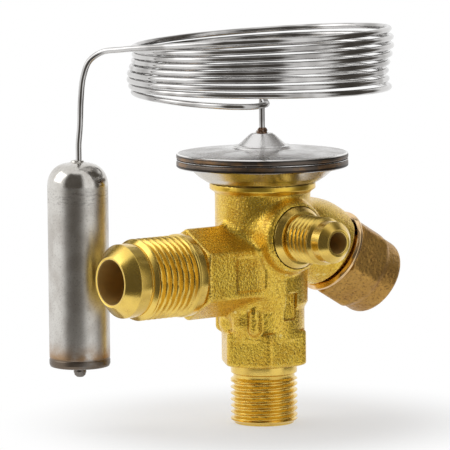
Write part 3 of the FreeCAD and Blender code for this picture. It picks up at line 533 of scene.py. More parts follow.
def forged_brass(n):
    """Blasted forging: light and dark grains, painted shade in its creases and painted highlights
    on its edges.

    The lip under the element is turned, so it has no grain.
    """
    where, _, _, z = n.place()
    lip = n.range(z, flare_z - 0.2, flare_z + 0.4)
    patches = n.noise(where, 4.0, 4.0)
    grain = n.mix(lip, n.noise(where, 0.42, 2.0, 0.7), (0.5, 0.5, 0.5))
    dents = n.cells(where, 0.62)
    colour = n.mix(n.range(patches, 0.35, 0.7), brass_light, brass_deep)
    colour = n.mix(n.range(grain, 0.52, 0.66, 0.0, 0.6), colour, brass_stain)
    colour = n.mix(n.range(grain, 0.34, 0.46, 0.5, 0.0), colour, (0.98, 0.76, 0.20))
    # Painted shade and painted highlight from the mesh's pointiness: creases darkened, edges
    # lightened.
    bend = n.add("NewGeometry").outputs["Pointiness"]
    colour = n.mix(n.range(bend, 0.44, 0.49, 0.7, 0.0), colour, (0.38, 0.21, 0.025))
    colour = n.mix(n.range(bend, 0.515, 0.58, 0.0, 0.6), colour, (1.0, 0.82, 0.30))
    height = n.plus(grain, n.times(dents, n.range(lip, 0.0, 1.0, 0.6, 0.0)))
    return {"Base Color": colour,
            "Roughness": n.range(grain, 0.3, 0.75, 0.24, 0.38),
            "Normal": n.bump(height, 0.12)}


def machined_brass(n):
    """Turned brass: bright, with faint tool marks, a little tarnish and a dull drilled bore whose
    darker colour is painted shade.
    """
    where, x, y, z = n.place()
    off = n.vector("LENGTH", n.pair(y, n.minus(z, outlet_z)))
    large = n.times(n.math("LESS_THAN", off, outlet_bore_r + 0.1),
                    n.math("LESS_THAN", x, -outlet_hex_x + 2.0))
    off = n.vector("LENGTH", n.pair(x, n.minus(z, equalizer_z)))
    small = n.times(n.math("LESS_THAN", off, equalizer_bore_r + 0.1),
                    n.math("LESS_THAN", y, -equalizer_boss_y))
    bore = n.math("MAXIMUM", large, small)
    patches = n.noise(where, 5.0, 3.0)
    fine = n.noise(where, 0.3, 2.0)
    colour = n.mix(n.range(patches, 0.4, 0.75), (0.85, 0.59, 0.11), (0.71, 0.46, 0.07))
    # Painted shade: the bores are given a darker colour; their low metallic and high roughness make
    # them dull.
    colour = n.mix(bore, colour, (0.58, 0.37, 0.11))
    return {"Base Color": colour,
            "Metallic": n.range(bore, 0.0, 1.0, 1.0, 0.25),
            "Roughness": n.math("MAXIMUM", n.range(patches, 0.3, 0.7, 0.20, 0.30),
                                n.times(bore, 0.55)),
            "Normal": n.bump(fine, 0.008)}


def polished_brass(n):
    """The turned ring at the cap's mouth: smooth and a little pink."""
    where = n.place()[0]
    patches = n.noise(where, 2.5, 3.0)
    return {"Base Color": n.mix(n.range(patches, 0.4, 0.7), (0.84, 0.58, 0.30), (0.70, 0.45, 0.20)),
            "Roughness": n.range(patches, 0.3, 0.7, 0.10, 0.18),
            "Normal": n.bump(patches, 0.02)}


def cap_brass(n):
    """Dull extruded bar: brown skin, open grain and dark specks."""
    where = n.place()[0]
    grain = n.noise(where, 0.65, 3.0, 0.75)
    specks = n.cells(where, 1.0)
    patches = n.noise(where, 5.0, 3.0)
    colour = n.mix(n.range(patches, 0.3, 0.75), (0.62, 0.355, 0.085), (0.49, 0.265, 0.065))
    colour = n.mix(n.range(grain, 0.5, 0.66, 0.0, 0.6), colour, (0.18, 0.09, 0.03))
    colour = n.mix(n.range(specks, 0.0, 0.22, 0.85, 0.0), colour, (0.08, 0.045, 0.02))
    height = n.plus(grain, n.times(specks, 0.8))
    return {"Base Color": colour,
            "Roughness": n.range(grain, 0.3, 0.7, 0.32, 0.48),
            "Normal": n.bump(height, 0.13)}


def tube_steel(n):
    """Drawn tube: bright, with duller stretches."""
    where = n.place()[0]
    marks = n.noise(where, 1.6, 4.0)
    streaks = n.noise(where, 9.0, 2.0)
    colour = n.mix(n.range(streaks, 0.42, 0.62), (0.60, 0.59, 0.58), (0.36, 0.35, 0.34))
    return {"Base Color": colour,
            "Roughness": n.range(marks, 0.3, 0.7, 0.06, 0.14),
            "Normal": n.bump(marks, 0.01)}


def case_steel(n):
    """Pressed sheet, satin in rings, with dark lines and a brown tint at the welded rim, a painted
    reflection that makes the underside lighter and warmer, and painted highlights on the hub ring
    and the top edge.
    """
    where, x, y, z = n.place()
    radius = n.math("SQRT", n.plus(n.times(x, x), n.times(y, y)))
    rings = n.noise(n.add("CombineXYZ", {0: radius, 2: z}).outputs[0], 0.25, 2.0)
    patches = n.noise(where, 6.0, 4.0)
    colour = n.mix(n.range(patches, 0.35, 0.7), (0.56, 0.55, 0.54), (0.44, 0.42, 0.40))
    off_weld = n.math("ABSOLUTE", n.minus(z, weld_z + diaphragm_t / 2))
    joint = n.times(n.range(off_weld, 0.35, 0.5, 1.0, 0.0),
                    n.math("GREATER_THAN", radius, case_r - 1.0))
    rim = n.math("MAXIMUM", joint, n.range(radius, case_r - 0.12, case_r - 0.03))
    tint = n.mix(n.range(patches, 0.45, 0.6), (0.135, 0.105, 0.082), (0.30, 0.175, 0.085))
    scars = n.noise(n.vector("MULTIPLY", where, (1, 1, 4)), 1.4, 4.0, 0.75)
    wavy = n.math("MULTIPLY_ADD", scars, 0.3, n.plus(z, -0.15))
    line = n.math("PINGPONG", n.minus(wavy, weld_z + 0.05), 0.575)
    tint = n.mix(n.range(line, 0.05, 0.22, 0.9, 0.0), tint, (0.012, 0.01, 0.009))
    tint = n.mix(n.range(scars, 0.66, 0.74, 0.0, 0.6), tint, (0.62, 0.40, 0.22))
    colour = n.mix(n.times(rim, 0.95), colour, tint)
    # Painted reflection: the underside is painted lighter and warmer than the rest of the steel.
    under = n.range(z, case_bottom_z - 0.4, case_bottom_z - 0.05, 1.0, 0.0)
    colour = n.mix(under, colour, (0.66, 0.62, 0.55))
    # Painted highlight: a lighter ring round the foot of the hub.
    hub = n.range(radius, 7.0, 10.5, 1.0, 0.0)
    colour = n.mix(n.times(hub, n.range(z, 63.6, 64.2)), colour, (0.80, 0.79, 0.78))
    foot = n.range(z, neck_top_z + 0.15, neck_top_z + 0.7, 1.0, 0.0)
    colour = n.mix(n.times(foot, n.range(patches, 0.45, 0.55, 0.0, 0.8)), colour,
                   (0.12, 0.06, 0.025))
    edge = n.range(z, case_bottom_z + 0.2, case_bottom_z + 0.9, 1.0, 0.0)
    colour = n.mix(n.times(edge, rim), colour, (0.02, 0.017, 0.015))
    # Painted highlight: a white line along the top edge of the cover.
    painted_highlight_top_edge = n.times(n.range(z, case_top_z - 0.22, case_top_z - 0.1),
                   n.range(radius, case_r - 0.5, case_r - 0.3))
    colour = n.mix(painted_highlight_top_edge, colour, (0.93, 0.92, 0.90))
    return {"Base Color": colour,
            "Roughness": n.math("MAXIMUM", n.range(patches, 0.3, 0.7, 0.18, 0.28),
                                n.times(rim, 0.42)),
            "Anisotropic": n.range(radius, case_r - 1.0, case_r - 0.3, 0.7, 0.0),
            "Tangent": n.add("Tangent", direction_type="RADIAL", axis="Z").outputs[0],
            "Normal": n.bump(rings, 0.008)}


def weld_metal(n):
    """Laser weld: nearly black, with a few brown glints."""
    where = n.place()[0]
    lumps = n.noise(n.vector("MULTIPLY", where, (1, 1, 3)), 1.2, 3.0, 0.7)
    colour = n.ramp(lumps, [(0.5, (0.012, 0.01, 0.008)), (0.65, (0.08, 0.045, 0.025)),
                            (0.78, (0.45, 0.25, 0.12))])
    return {"Base Color": colour,
            "Roughness": n.range(lumps, 0.3, 0.7, 0.75, 0.5),
            "Specular IOR Level": n.range(lumps, 0.5, 0.7, 0.1, 0.5),
            "Normal": n.bump(lumps, 0.05)}


def bulb_steel(n):
    """Spun can: a satin wall with fine rings, a polished dome and straw heat tints."""
    where, _, _, z = n.place()
    patches = n.noise(where, 5.0, 4.0)
    grain = n.noise(where, 0.4, 3.0, 0.7)
    rings = n.noise(n.vector("MULTIPLY", where, (0.25, 0.25, 1)), 0.5, 3.0, 0.7)
    dome = n.range(z, bulb_shoulder_z - 0.4, bulb_shoulder_z + 0.6)
    colour = n.mix(n.range(patches, 0.35, 0.7), (0.68, 0.66, 0.62), (0.54, 0.51, 0.47))
    colour = n.mix(n.range(grain, 0.5, 0.7, 0.0, 0.4), colour, (0.28, 0.26, 0.24))
    foot = n.range(z, bulb_bottom_z + 1.5, bulb_bottom_z + 7.0, 0.9, 0.0)
    foot = n.times(foot, n.range(patches, 0.3, 0.55))
    colour = n.mix(foot, colour, (0.36, 0.19, 0.06))
    seam = n.range(z, bulb_bottom_z + 1.9, bulb_bottom_z + 2.7, 0.85, 0.0)
    colour = n.mix(seam, colour, (0.13, 0.115, 0.10))
    off_ring = n.math("ABSOLUTE", n.minus(z, bulb_shoulder_z - 2.4))
    stain = n.times(n.range(off_ring, 0.8, 2.4, 1.0, 0.0), n.range(rings, 0.50, 0.62))
    colour = n.mix(n.times(stain, 0.35), colour, (0.12, 0.105, 0.09))
    satin = n.range(grain, 0.3, 0.7, 0.32, 0.42)
    return {"Base Color": colour,
            "Roughness": n.plus(n.times(satin, n.minus(1.0, dome)), n.times(dome, 0.14)),
            "Normal": n.bump(grain, 0.01)}


def braze_metal(n):
    """Oxidised filler with a few bare silver specks."""
    lumps = n.noise(n.place()[0], 0.5, 3.0, 0.7)
    colour = n.ramp(lumps, [(0.35, (0.035, 0.02, 0.012)), (0.55, (0.20, 0.10, 0.05)),
                            (0.68, (0.80, 0.76, 0.70))])
    return {"Base Color": colour,
            "Roughness": n.range(lumps, 0.3, 0.7, 0.5, 0.2),
            "Normal": n.bump(lumps, 0.12)}


def inner_metal(light, dark, low, high):
    """A turned inner part: two close tones, brushed round."""
    def build(n):
        tone = n.noise(n.place()[0], 1.5, 3.0)
        return {"Base Color": n.mix(n.range(tone, 0.35, 0.65), light, dark),
                "Roughness": n.range(tone, 0.3, 0.7, low, high),
                "Normal": n.bump(tone, 0.01)}
    return build


def inner_soft(light, dark, low, high):
    """A moulded ring: matt, faintly mottled."""
    def build(n):
        values = inner_metal(light, dark, low, high)(n)
        values["Metallic"] = 0.0
        return values
    return build


# The clear film on bare brass, which keeps its highlights pale
film = {"Coat Weight": 0.35, "Coat IOR": 1.5, "Coat Roughness": 0.25}
lacquer = {"Coat Weight": 0.4, "Coat IOR": 1.8, "Coat Roughness": 0.14}
MATERIALS = {
    "forged": material("forged_brass", forged_brass, 0.86, **film),
    "machined": material("machined_brass", machined_brass, **lacquer),
    "polished": material("cap_ring_brass", polished_brass, **lacquer),
    "cap": material("cap_brass", cap_brass, 0.86),
    "weld": material("rim_weld", weld_metal, 0.4),
    "tube": material("tube_steel", tube_steel),
    "case": material("case_steel", case_steel),
    "bulb": material("bulb_steel", bulb_steel),
    "braze": material("braze_metal", braze_metal),
}
INNER = {
    "brass": inner_metal((0.80, 0.55, 0.14), (0.66, 0.42, 0.08), 0.2, 0.32),
    "diaphragm_steel": inner_metal((0.62, 0.61, 0.60), (0.5, 0.49, 0.48), 0.2, 0.3),
    "spring_steel": inner_metal((0.34, 0.34, 0.35), (0.24, 0.24, 0.25), 0.25, 0.4),
    "gear_steel": inner_metal((0.45, 0.45, 0.46), (0.35, 0.35, 0.36), 0.25, 0.4),
    "plated_steel": inner_metal((0.66, 0.64, 0.58), (0.55, 0.53, 0.46), 0.25, 0.4),
    "pin_steel": inner_metal((0.70, 0.70, 0.71), (0.6, 0.6, 0.61), 0.08, 0.16),
    "strainer_steel": inner_metal((0.55, 0.54, 0.53), (0.42, 0.41, 0.4), 0.25, 0.4),
    "seal_rubber": inner_soft((0.03, 0.03, 0.032), (0.015, 0.015, 0.017), 0.5, 0.7),
    "packing": inner_soft((0.80, 0.79, 0.74), (0.72, 0.70, 0.64), 0.45, 0.6),
}


# Valve body

def column_field(p):
    """The turned and forged column on the valve axis, without its lower hex."""
    r = np.sqrt(p[..., 0] ** 2 + p[..., 1] ** 2)
    z = p[..., 2]
    heights = [10.0, waist_top_z - 0.35, waist_top_z + 1.05, shoulder_z, neck_foot_z + 0.4, flare_z,
               lip_z, neck_top_z]
    radii = [waist_r, waist_r, body_r, body_r, neck_r, neck_r, lip_r, lip_r]
    wall = np.interp(z, heights, radii)
    return soft_max((r - wall) * 0.85, np.maximum(waist_z - 2 - z, z - neck_top_z), 0.3)


def capsule_field(p, low, high, radius):
    """An upright rod with round ends."""
    q = p - np.asarray(low, p.dtype)
    rise = np.clip(q[..., 2], 0, high[2] - low[2])
    return np.sqrt(q[..., 0] ** 2 + q[..., 1] ** 2 + (q[..., 2] - rise) ** 2) - radius


def pads_field(p):
    """Under the arm on each side a broad lobe and a narrow ridge, with a crease between."""
    d = None
    for side in (1, -1):
        a = side * pad_angle
        out = np.array([math.cos(a), math.sin(a), 0])
        across = np.array([math.sin(a), -math.cos(a), 0]) * side
        for reach, shift, radius, low, high in pad_lobes:
            foot = out * reach + across * shift
            lobe = capsule_field(p, foot + UP * low, foot + UP * high, radius)
            d = lobe if d is None else soft_min(d, lobe, 0.25)
    return d


def body_field(p):
    """The forging: each part of it joined to the rest by its own fillet."""
    d = column_field(p)
    lower_hex = hex_field(p, (0, 0, 0), UP, LEVEL, lower_hex_z, waist_z, 0.8, turned_end=-1)
    d = soft_min(d, lower_hex, 0.4)
    d = soft_min(d, pads_field(p), 1.0)
    arm = hex_field(p, OUTLET_AT, OUTLET, UP, 2.0, outlet_hex_x, 0.6, turned_end=1)
    recess = box_field(p, (recess_middle_x, -hex_af / 2, outlet_z), recess_half, 0.8)
    arm = soft_max(arm, -recess, 0.4)
    d = soft_min(d, arm, 2.2)
    boss = rod_field(p, APEX, ADJUSTER, boss_r, 2.0, boss_end, 0.3)
    t, out = along(p, APEX, ADJUSTER)
    boss = soft_max(boss, (out - boss_r + (t - boss_end) + boss_edge) * 0.7, 0.2)
    boss = soft_max(boss, p[..., 2] - boss_top_z, 2.4)
    boss = np.maximum(boss, -p[..., 0])
    d = soft_min(d, boss, 1.0)
    port = rod_field(p, EQUALIZER_AT, EQUALIZER, equalizer_boss_r, 0, equalizer_boss_y, 2.4)
    d = soft_min(d, port, 1.6)
    d = soft_max(d, -box_field(p, pocket_at, pocket_half, 0.15), 0.12)
    for bore in BORES:
        d = np.maximum(d, -rod_field(p, *bore))
    return d


# Where each bore is drilled from, its axis, radius, start, end and edge
BORES = [
    ((0, 0, 0), UP, inlet_bore_r, 0, 17.55, 0.1),           # inlet
    ((0, 0, 0), UP, 4.95, 10, 30, 0.1),                     # orifice cartridge
    ((0, 0, 0), UP, 5.3, 28.6, 40.4, 0.3),                  # chamber over the orifice
    (OUTLET_AT, OUTLET, outlet_bore_r, 12.37, 40, 0.1),     # outlet
    (OUTLET_AT, OUTLET, 4.6, 0, 40, 0.1),                   # from the chamber to it
    (EQUALIZER_AT, EQUALIZER, 1.15, 0, 40, 0.1),            # equaliser's fine hole
    ((0, 0, 0), UP, 8.2, 42.1, 60, 0.1),                    # spring chamber
    (APEX, ADJUSTER, 3.85, 5, 40, 0.1),                     # adjuster
]


def forged_body():
    points, faces = surface(body_field, (-23.6, -13.6, 12.9), (21.6, 13.2, 57.0), 0.34)
    return new_object("forged_body", points, faces, 50.0)


def inlet_connection():
    """The inlet's plain tip, thread and relief."""
    outline = [(inlet_bore_r, -0.95), (7.0, -0.95), (7.0, -0.61), (inlet_r, 0), (inlet_r, 9.65),
               (7.25, 10.15), (7.25, 10.9), (7.85, 11.2), (7.85, 14.0), (inlet_bore_r, 14.0)]
    thread = {"r": inlet_r, "pitch": inlet_pitch, "start": -0.3, "end": 9.9}
    return turned("inlet_connection", outline, thread=thread)


def outlet_connection():
    """Collar, thread and flare cone of the outlet."""
    mouth, nose_r, nose_x = 5.83, 8.6, 41.7
    outline = [(outlet_bore_r, 22.0), (9.15, 22.0), (9.15, 23.4), (9.75, 23.4), (9.75, 25.3),
               (outlet_r, 25.7), (outlet_r, 37.3), (8.45, 38.0), (8.15, 38.0), (8.15, 38.3),
               (nose_r, 38.7), (nose_r, nose_x), (mouth, nose_x + nose_r - mouth),
               (mouth - 0.25, 44.37), (outlet_bore_r, 44.37)]
    thread = {"r": outlet_r, "pitch": outlet_pitch, "start": 25.6, "end": 37.6}
    return turned("outlet_connection", outline, OUTLET_AT, OUTLET, thread=thread, edge=0.2)


def equalizer_connection():
    """Collar, thread and flare cone of the equaliser."""
    mouth, nose_r, nose_y = 3.17, 4.85, 26.9
    outline = [(equalizer_bore_r, 11.0), (7.25, 11.0), (7.25, equalizer_boss_y), (6.2, 15.2),
               (nose_r, 15.2), (equalizer_r, 15.7), (equalizer_r, 23.6), (nose_r, 24.3),
               (nose_r, nose_y), (mouth, nose_y + nose_r - mouth), (mouth - 0.2, 28.39),
               (equalizer_bore_r, 28.39)]
    thread = {"r": equalizer_r, "pitch": equalizer_pitch, "start": 15.5, "end": 23.9}
    return turned("equalizer_connection", outline, EQUALIZER_AT, EQUALIZER, thread=thread, edge=0.2)


def cap_spigot():
    """The thread on the boss that the cap screws on to."""
    outline = [(4.6, 21.5), (6.4, 21.5), (6.4, 23.2), (spigot_r, 23.8), (spigot_r, 28.9),
               (6.4, 29.5), (4.6, 29.5)]
    thread = {"r": spigot_r, "pitch": spigot_pitch, "start": 23.6, "end": 29.1}
    return turned("cap_spigot", outline, APEX, ADJUSTER, thread=thread)


# Element

def upper_shell():
    """The cover, with its raised hub and the hole for the stem."""
    top = weld_z + diaphragm_t
    outline = [(case_r - 0.35, top), (case_r, top + 0.35), (case_r, case_top_z - 0.3),
               (case_r - 0.35, case_top_z), (19.2, 63.45), (16.5, 63.78), (12.0, 64.2), (7.5, 64.5),
               (7.2, 64.65), (7.1, 65.0), (5.9, 65.05), (5.2, 65.55), (3.1, 67.45), (2.5, 67.85),
               (1.7, stem_hole_z), (stem_hole_r, stem_hole_z), (stem_hole_r, 65.75),
               (3.6, 64.35), (4.5, 63.55), (7.2, 63.55), (17.5, 62.4), (17.9, top)]
    return turned("upper_shell", outline, segments=192, edge=0.5, sharp_angle=50.0)


def lower_shell():
    """The cup, which narrows to the body's lip and is turned down into its neck."""
    on_lip = neck_top_z + 0.02
    outline = [(case_r - 0.35, weld_z), (case_r, weld_z - 0.35), (case_r, case_bottom_z + 0.3),
               (case_r - 0.35, case_bottom_z), (17.5, case_bottom_z), (17.0, 59.55), (15.0, 57.75),
               (13.3, 56.65), (12.6, neck_top_z + 0.1), (12.3, on_lip), (8.9, on_lip), (8.9, 53.0),
               (7.7, 53.0), (7.7, 57.85), (11.2, 57.85), (14.6, 60.98), (17.4, 60.98),
               (17.9, weld_z)]
    return turned("lower_shell", outline, segments=192, edge=0.4, sharp_angle=50.0)


def rim_weld():
    """The thin dark bead that the laser left round the rim."""
    middle = weld_z + diaphragm_t / 2
    outline = [(case_r - 0.9, middle - 0.42), (case_r - 0.3, middle - 0.30),
               (case_r - 0.26, middle), (case_r - 0.3, middle + 0.30),
               (case_r - 0.9, middle + 0.42)]
    return turned("rim_weld", outline, segments=192, edge=0.1)


# Capillary and bulb

def coil_point(n):
    """A point n turns up the coil, which runs clockwise and isn't quite even."""
    angle = coil_start - 2 * math.pi * n
    shift = 0.3 + 0.65 * math.cos(2 * math.pi * (n - 2.3) / 7.0)
    tilt_here = -0.11 + 0.24 * n
    return np.array([coil_r * math.cos(angle) + shift * math.cos(coil_start),
                     coil_r * math.sin(angle) + shift * math.sin(coil_start),
                     coil_low_z + coil_rise * n - tilt_here * math.cos(2 * math.pi * n)])


def directions(points, first, last):
    """At each point, the direction of the circle through it and its neighbours."""
    out = [np.array(first, float)]
    for a, b, c in zip(points, points[1:], points[2:]):
        u, v = b - a, c - b
        lu, lv = np.linalg.norm(u), np.linalg.norm(v)
        out.append(u * (lv / lu) + v * (lu / lv))
    out.append(np.array(last, float))
    return [d / np.linalg.norm(d) for d in out]


def flowing(points, ways, spacing=0.8):
    """Points close together along a smooth line through the given ones."""
    line = []
    for p0, t0, p1, t1 in zip(points, ways, points[1:], ways[1:]):
        chord = np.linalg.norm(p1 - p0)
        count = max(2, int(chord / spacing))
        bend = 1 / (0.5 + 0.5 * float(np.clip(t0 @ t1, -0.5, 1)))
        reach = chord * (0.7 + 0.3 * bend)
        for k in range(count):
            u = k / count
            line.append((2 * u ** 3 - 3 * u ** 2 + 1) * p0 + (u ** 3 - 2 * u ** 2 + u) * reach * t0
                        + (3 * u ** 2 - 2 * u ** 3) * p1 + (u ** 3 - u ** 2) * reach * t1)
    line.append(points[-1])
    return line


def capillary_line():
    """Stem up from the cover, out to the coil, round it, and away to the bulb."""
    out = np.array([-0.576, -0.8175, 0.008])
    out /= np.linalg.norm(out)
    bend_r = 2.0
    stem_z = 76.7
    elbow = np.array([out[0] * bend_r, out[1] * bend_r, stem_z])
    stem = [np.array([0, 0, 66.05]), np.array([0, 0, stem_z - bend_r])]
    for k in range(1, 8):
        a = math.pi / 2 * k / 8
        stem.append(stem[1] + np.array([out[0], out[1], 0]) * bend_r * (1 - math.cos(a))
                    + UP * bend_r * math.sin(a))
    stem += [elbow, elbow + out * 23.2]
    first_arc = [np.array(p, float) for p in
                 ((-20.6, -22.0, 76.6), (-27.5, -12.4, 76.85), (-29.8, 0.0, 77.4))]
    steps = 24
    coil = [coil_point(i / steps) for i in range(int(coil_turns * steps) + 1)]
    lead = [np.array(p, float) for p in
            ((-20.5, -22.1, 91.35), (-24.4, -17.9, 91.05), (-27.6, -12.1, 90.6),
             (-31.6, -2.7, 89.8), (-35.6, 6.7, 88.95), (-38.0, 12.2, 87.95),
             (-39.3, 14.6, 86.0), (-40.0, 15.9, 82.6), (-40.3, 16.6, 77.5),
             (-40.5, 16.9, 70.5), (bulb_at[0] + 0.25, bulb_at[1] - 0.2, 65.9))]
    route = first_arc + coil + lead
    ways = directions(route, (-0.98, 0.2, 0.02), (0, 0, -1))
    points = stem + route + [np.array([bulb_at[0] + 0.25, bulb_at[1] - 0.2, bulb_top_z - 2.4])]
    stem_ways = directions(stem, UP, out)
    return flowing(points, stem_ways + ways + [np.array([0, 0, -1.0])])


def sweep(name, line, radius, sides=18):
    """A round tube along a line of close points."""
    ways = np.gradient(line, axis=0)
    ways /= np.linalg.norm(ways, axis=1)[:, None]
    side = np.array([1.0, 0, 0])
    side -= ways[0] * (side @ ways[0])
    angle = np.linspace(0, 2 * math.pi, sides, endpoint=False)
    points = []
    for p, way in zip(line, ways):
        side = side - way * (side @ way)
        side /= np.linalg.norm(side)
        other = np.cross(way, side)
        points.append(p + radius * (np.cos(angle)[:, None] * side + np.sin(angle)[:, None] * other))
    faces = tube_faces(len(line), sides) + end_faces(len(line), sides)
    return new_object(name, np.concatenate(points), faces, 50.0)


def braze_fillet():
    """An uneven bead round the foot of the stem."""
    rows, segments = 12, 48
    points = []
    for i in range(rows):
        t = i / (rows - 1)
        z = 67.85 + 1.35 * t
        base_r = 0.78 + 0.62 * (1 - t) ** 1.8
        for j in range(segments):
            a = 2 * math.pi * j / segments
            lump = (0.26 * math.sin(3 * a + 4 * t) + 0.16 * math.sin(7 * a - 9 * t + 1)
                    + 0.08 * math.sin(13 * a + 17 * t))
            r = base_r + lump * (0.25 + math.sin(math.pi * t)) * 0.9
            r = max(r, 0.74)
            points.append((r * math.cos(a), r * math.sin(a), z))
    faces = tube_faces(rows, segments) + end_faces(rows, segments)
    return new_object("braze_fillet", points, faces, 60.0)


def bulb_can():
    """Domed head, straight wall, rolled seam and end plate."""
    seam = bulb_bottom_z + 2.0
    outline = [(0, bulb_bottom_z), (bulb_r - 0.9, bulb_bottom_z),
               (bulb_r - 0.25, bulb_bottom_z + 0.2), (bulb_r, bulb_bottom_z + 0.8),
               (bulb_r, seam - 0.25), (bulb_r - 0.14, seam), (bulb_r - 0.05, seam + 0.35),
               (bulb_r - 0.03, seam + 1.2)]
    rise, nose_r, hole_r = bulb_top_z - 0.6 - bulb_shoulder_z, 1.5, 0.74
    for k in range(15):
        a = math.pi / 2 * k / 15
        outline.append((nose_r + (bulb_r - 0.03 - nose_r) * math.cos(a) ** 0.82,
                        bulb_shoulder_z + rise * math.sin(a)))
    outline += [(1.62, bulb_top_z - 0.45), (nose_r, bulb_top_z - 0.1), (1.1, bulb_top_z),
                (hole_r, bulb_top_z), (hole_r, bulb_top_z - 2.5), (0, bulb_top_z - 2.5)]
    return turned("bulb_can", outline, (*bulb_at, 0), edge=0.2, sharp_angle=50.0)


def bulb_pip():
    """The pinched filling tube under the bulb."""
    low = bulb_bottom_z - 2.5
    outline = [(0, low), (0.75, low + 0.05), (1.25, low + 0.5), (1.5, low + 1.3), (1.35, low + 2.2),
               (1.5, bulb_bottom_z), (0, bulb_bottom_z)]
    return turned("bulb_pip", outline, (*bulb_at, 0), segments=48, edge=0.3, sharp_angle=60.0)


# Cap

def cap_field(p):
    """The cap's hex and round end, hollow over the spigot."""
    near, far, end = cap_near + 1.0, 33.9, 39.0
    down = np.array([-math.sin(tilt), 0, -math.cos(tilt)])
    corner = down * math.cos(cap_clock) + np.array([0, 1.0, 0]) * math.sin(cap_clock)
    d = hex_field(p, APEX, ADJUSTER, corner, near, far, 0.9)
    t, out = along(p, APEX, ADJUSTER)
    near_chamfer = (out - (hex_corner_r - 1.2) - (t - near) / chamfer_slope) * 0.5
    far_chamfer = (out - (hex_corner_r - 1.6) - (far - t)) * 0.7
    d = soft_max(soft_max(d, near_chamfer, 0.15), far_chamfer, 0.8)
    crown = soft_max(out - 9.3, np.maximum(28 - t, t - end), 1.5)
    d = soft_min(d, crown, 0.8)
    bore = np.maximum(out - cap_bore_r - np.maximum(0, cap_near + 0.9 - t), t - 30.25)
    d = soft_max(d, -bore, 0.2)
    return soft_max(d, -np.maximum(out - 5.4, t - 34.9), 0.2)


def cap_ring():
    """The turned ring at the cap's mouth."""
    outline = [(7.3, cap_near), (cap_ring_r - 0.7, cap_near), (cap_ring_r, cap_near + 0.5),
               (cap_ring_r, cap_near + 1.1), (cap_ring_r - 0.5, cap_near + 1.6),
               (7.3, cap_near + 1.6)]
    return turned("cap_ring", outline, APEX, ADJUSTER, edge=0.2)


def seal_cap():
    points, faces = surface(cap_field, (13.0, -11.6, 21.0), (41.5, 11.6, 50.8), 0.3)
    return new_object("seal_cap", points, faces, 40.0)


# Putting the pieces on the frame

SLOTS = {s["node"]: s["material_slot"] for s in frame["record"]["subparts"]}


def dress(piece, mat, body, slot, *replaced):
    """Give a piece its material and its body, and hide the nodes that it stands for. The slot is
    not used.
    """
    piece.data.materials.append(MATERIALS[mat])
    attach(piece, body)
    if replaced:
        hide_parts(*replaced)


def build_pieces():
    dress(forged_body(), "forged", "root", "brass", "valve_body")
    for piece in (inlet_connection(), outlet_connection(), equalizer_connection(), cap_spigot()):
        dress(piece, "machined", "root", "brass")
    dress(upper_shell(), "case", "root", "case_steel", "upper_case")
    dress(lower_shell(), "case", "root", "case_steel", "lower_case")
    dress(rim_weld(), "weld", "root", "case_steel")
    dress(sweep("capillary", capillary_line(), tube_r), "tube", "root", "tube_steel",
          "capillary_tube")
    dress(braze_fillet(), "braze", "root", "braze", "braze_bead")
    dress(bulb_can(), "bulb", "root", "bulb_steel", "sensor_bulb")
    dress(bulb_pip(), "bulb", "root", "bulb_steel", "charge_pip")
    dress(seal_cap(), "cap", "cap", "cap_brass", "cap_nut")
    dress(cap_ring(), "polished", "cap", "cap_brass")


def dress_inner_nodes():
    """The sealed-in pieces keep their solids and get a finish each."""
    made = {}
    for node, obj in frame["nodes"].items():
        name = SLOTS[node]
        if name not in made:
            made[name] = material("inner_" + name, INNER.get(name, INNER["plated_steel"]))
        obj.data.materials.clear()
        obj.data.materials.append(made[name])


# The two springs, between the pieces that they press on.
# Each has its node, mean radius, wire and turns.

SUPERHEAT_SPRING = ("superheat_spring", 5.3, 1.2, 3.5)
CONE_SPRING = ("cone_spring", 1.35, 0.4, 5.0)


def spring(name, kind, first=0.0, last=1.0):
    """A stretch of a round-wire spring, and the heights of its two ends."""
    node, mean_r, wire_d, turns = kind
    low, high = (corner[2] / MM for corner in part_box(node))
    share = np.linspace(first, last, int(turns * (last - first) * 48) + 1)
    angle = 2 * math.pi * turns * share
    heights = low + wire_d / 2 + (high - low - wire_d) * share
    line = np.stack([mean_r * np.cos(angle), mean_r * np.sin(angle), heights], axis=1)
    piece = sweep(name, line, wire_d / 2 - 0.01, 14)
    piece.data.materials.append(frame["nodes"][node].data.materials[0])
    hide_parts(node)
    return piece, low, high


def shorten(piece, low, high):
    """Attach a piece to the root body and give it its own mesh."""
    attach(piece, "root")
    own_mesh(piece)


def build_springs():
    """The superheat spring is made in two stretches, split where it stands still, and the cone
    spring in one.
    """
    split, wire_r = 0.62, SUPERHEAT_SPRING[2] / 2
    foot, low, high = spring("superheat_spring_foot", SUPERHEAT_SPRING, 0.0, split)
    still = low + wire_r + (high - low - 2 * wire_r) * split
    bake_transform(foot)
    head, _, high = spring("superheat_spring_head", SUPERHEAT_SPRING, split + 0.001)
    shorten(head, still - wire_r, high)
    shorten(*spring("pin_spring", CONE_SPRING))


# Stage, light and camera

floor_z = -0.97
floor_r = 90.0
camera_az = math.radians(-37.26)
toward = (math.sin(camera_az), -math.cos(camera_az), 0.0)
rightward = (math.cos(camera_az), math.sin(camera_az), 0.0)


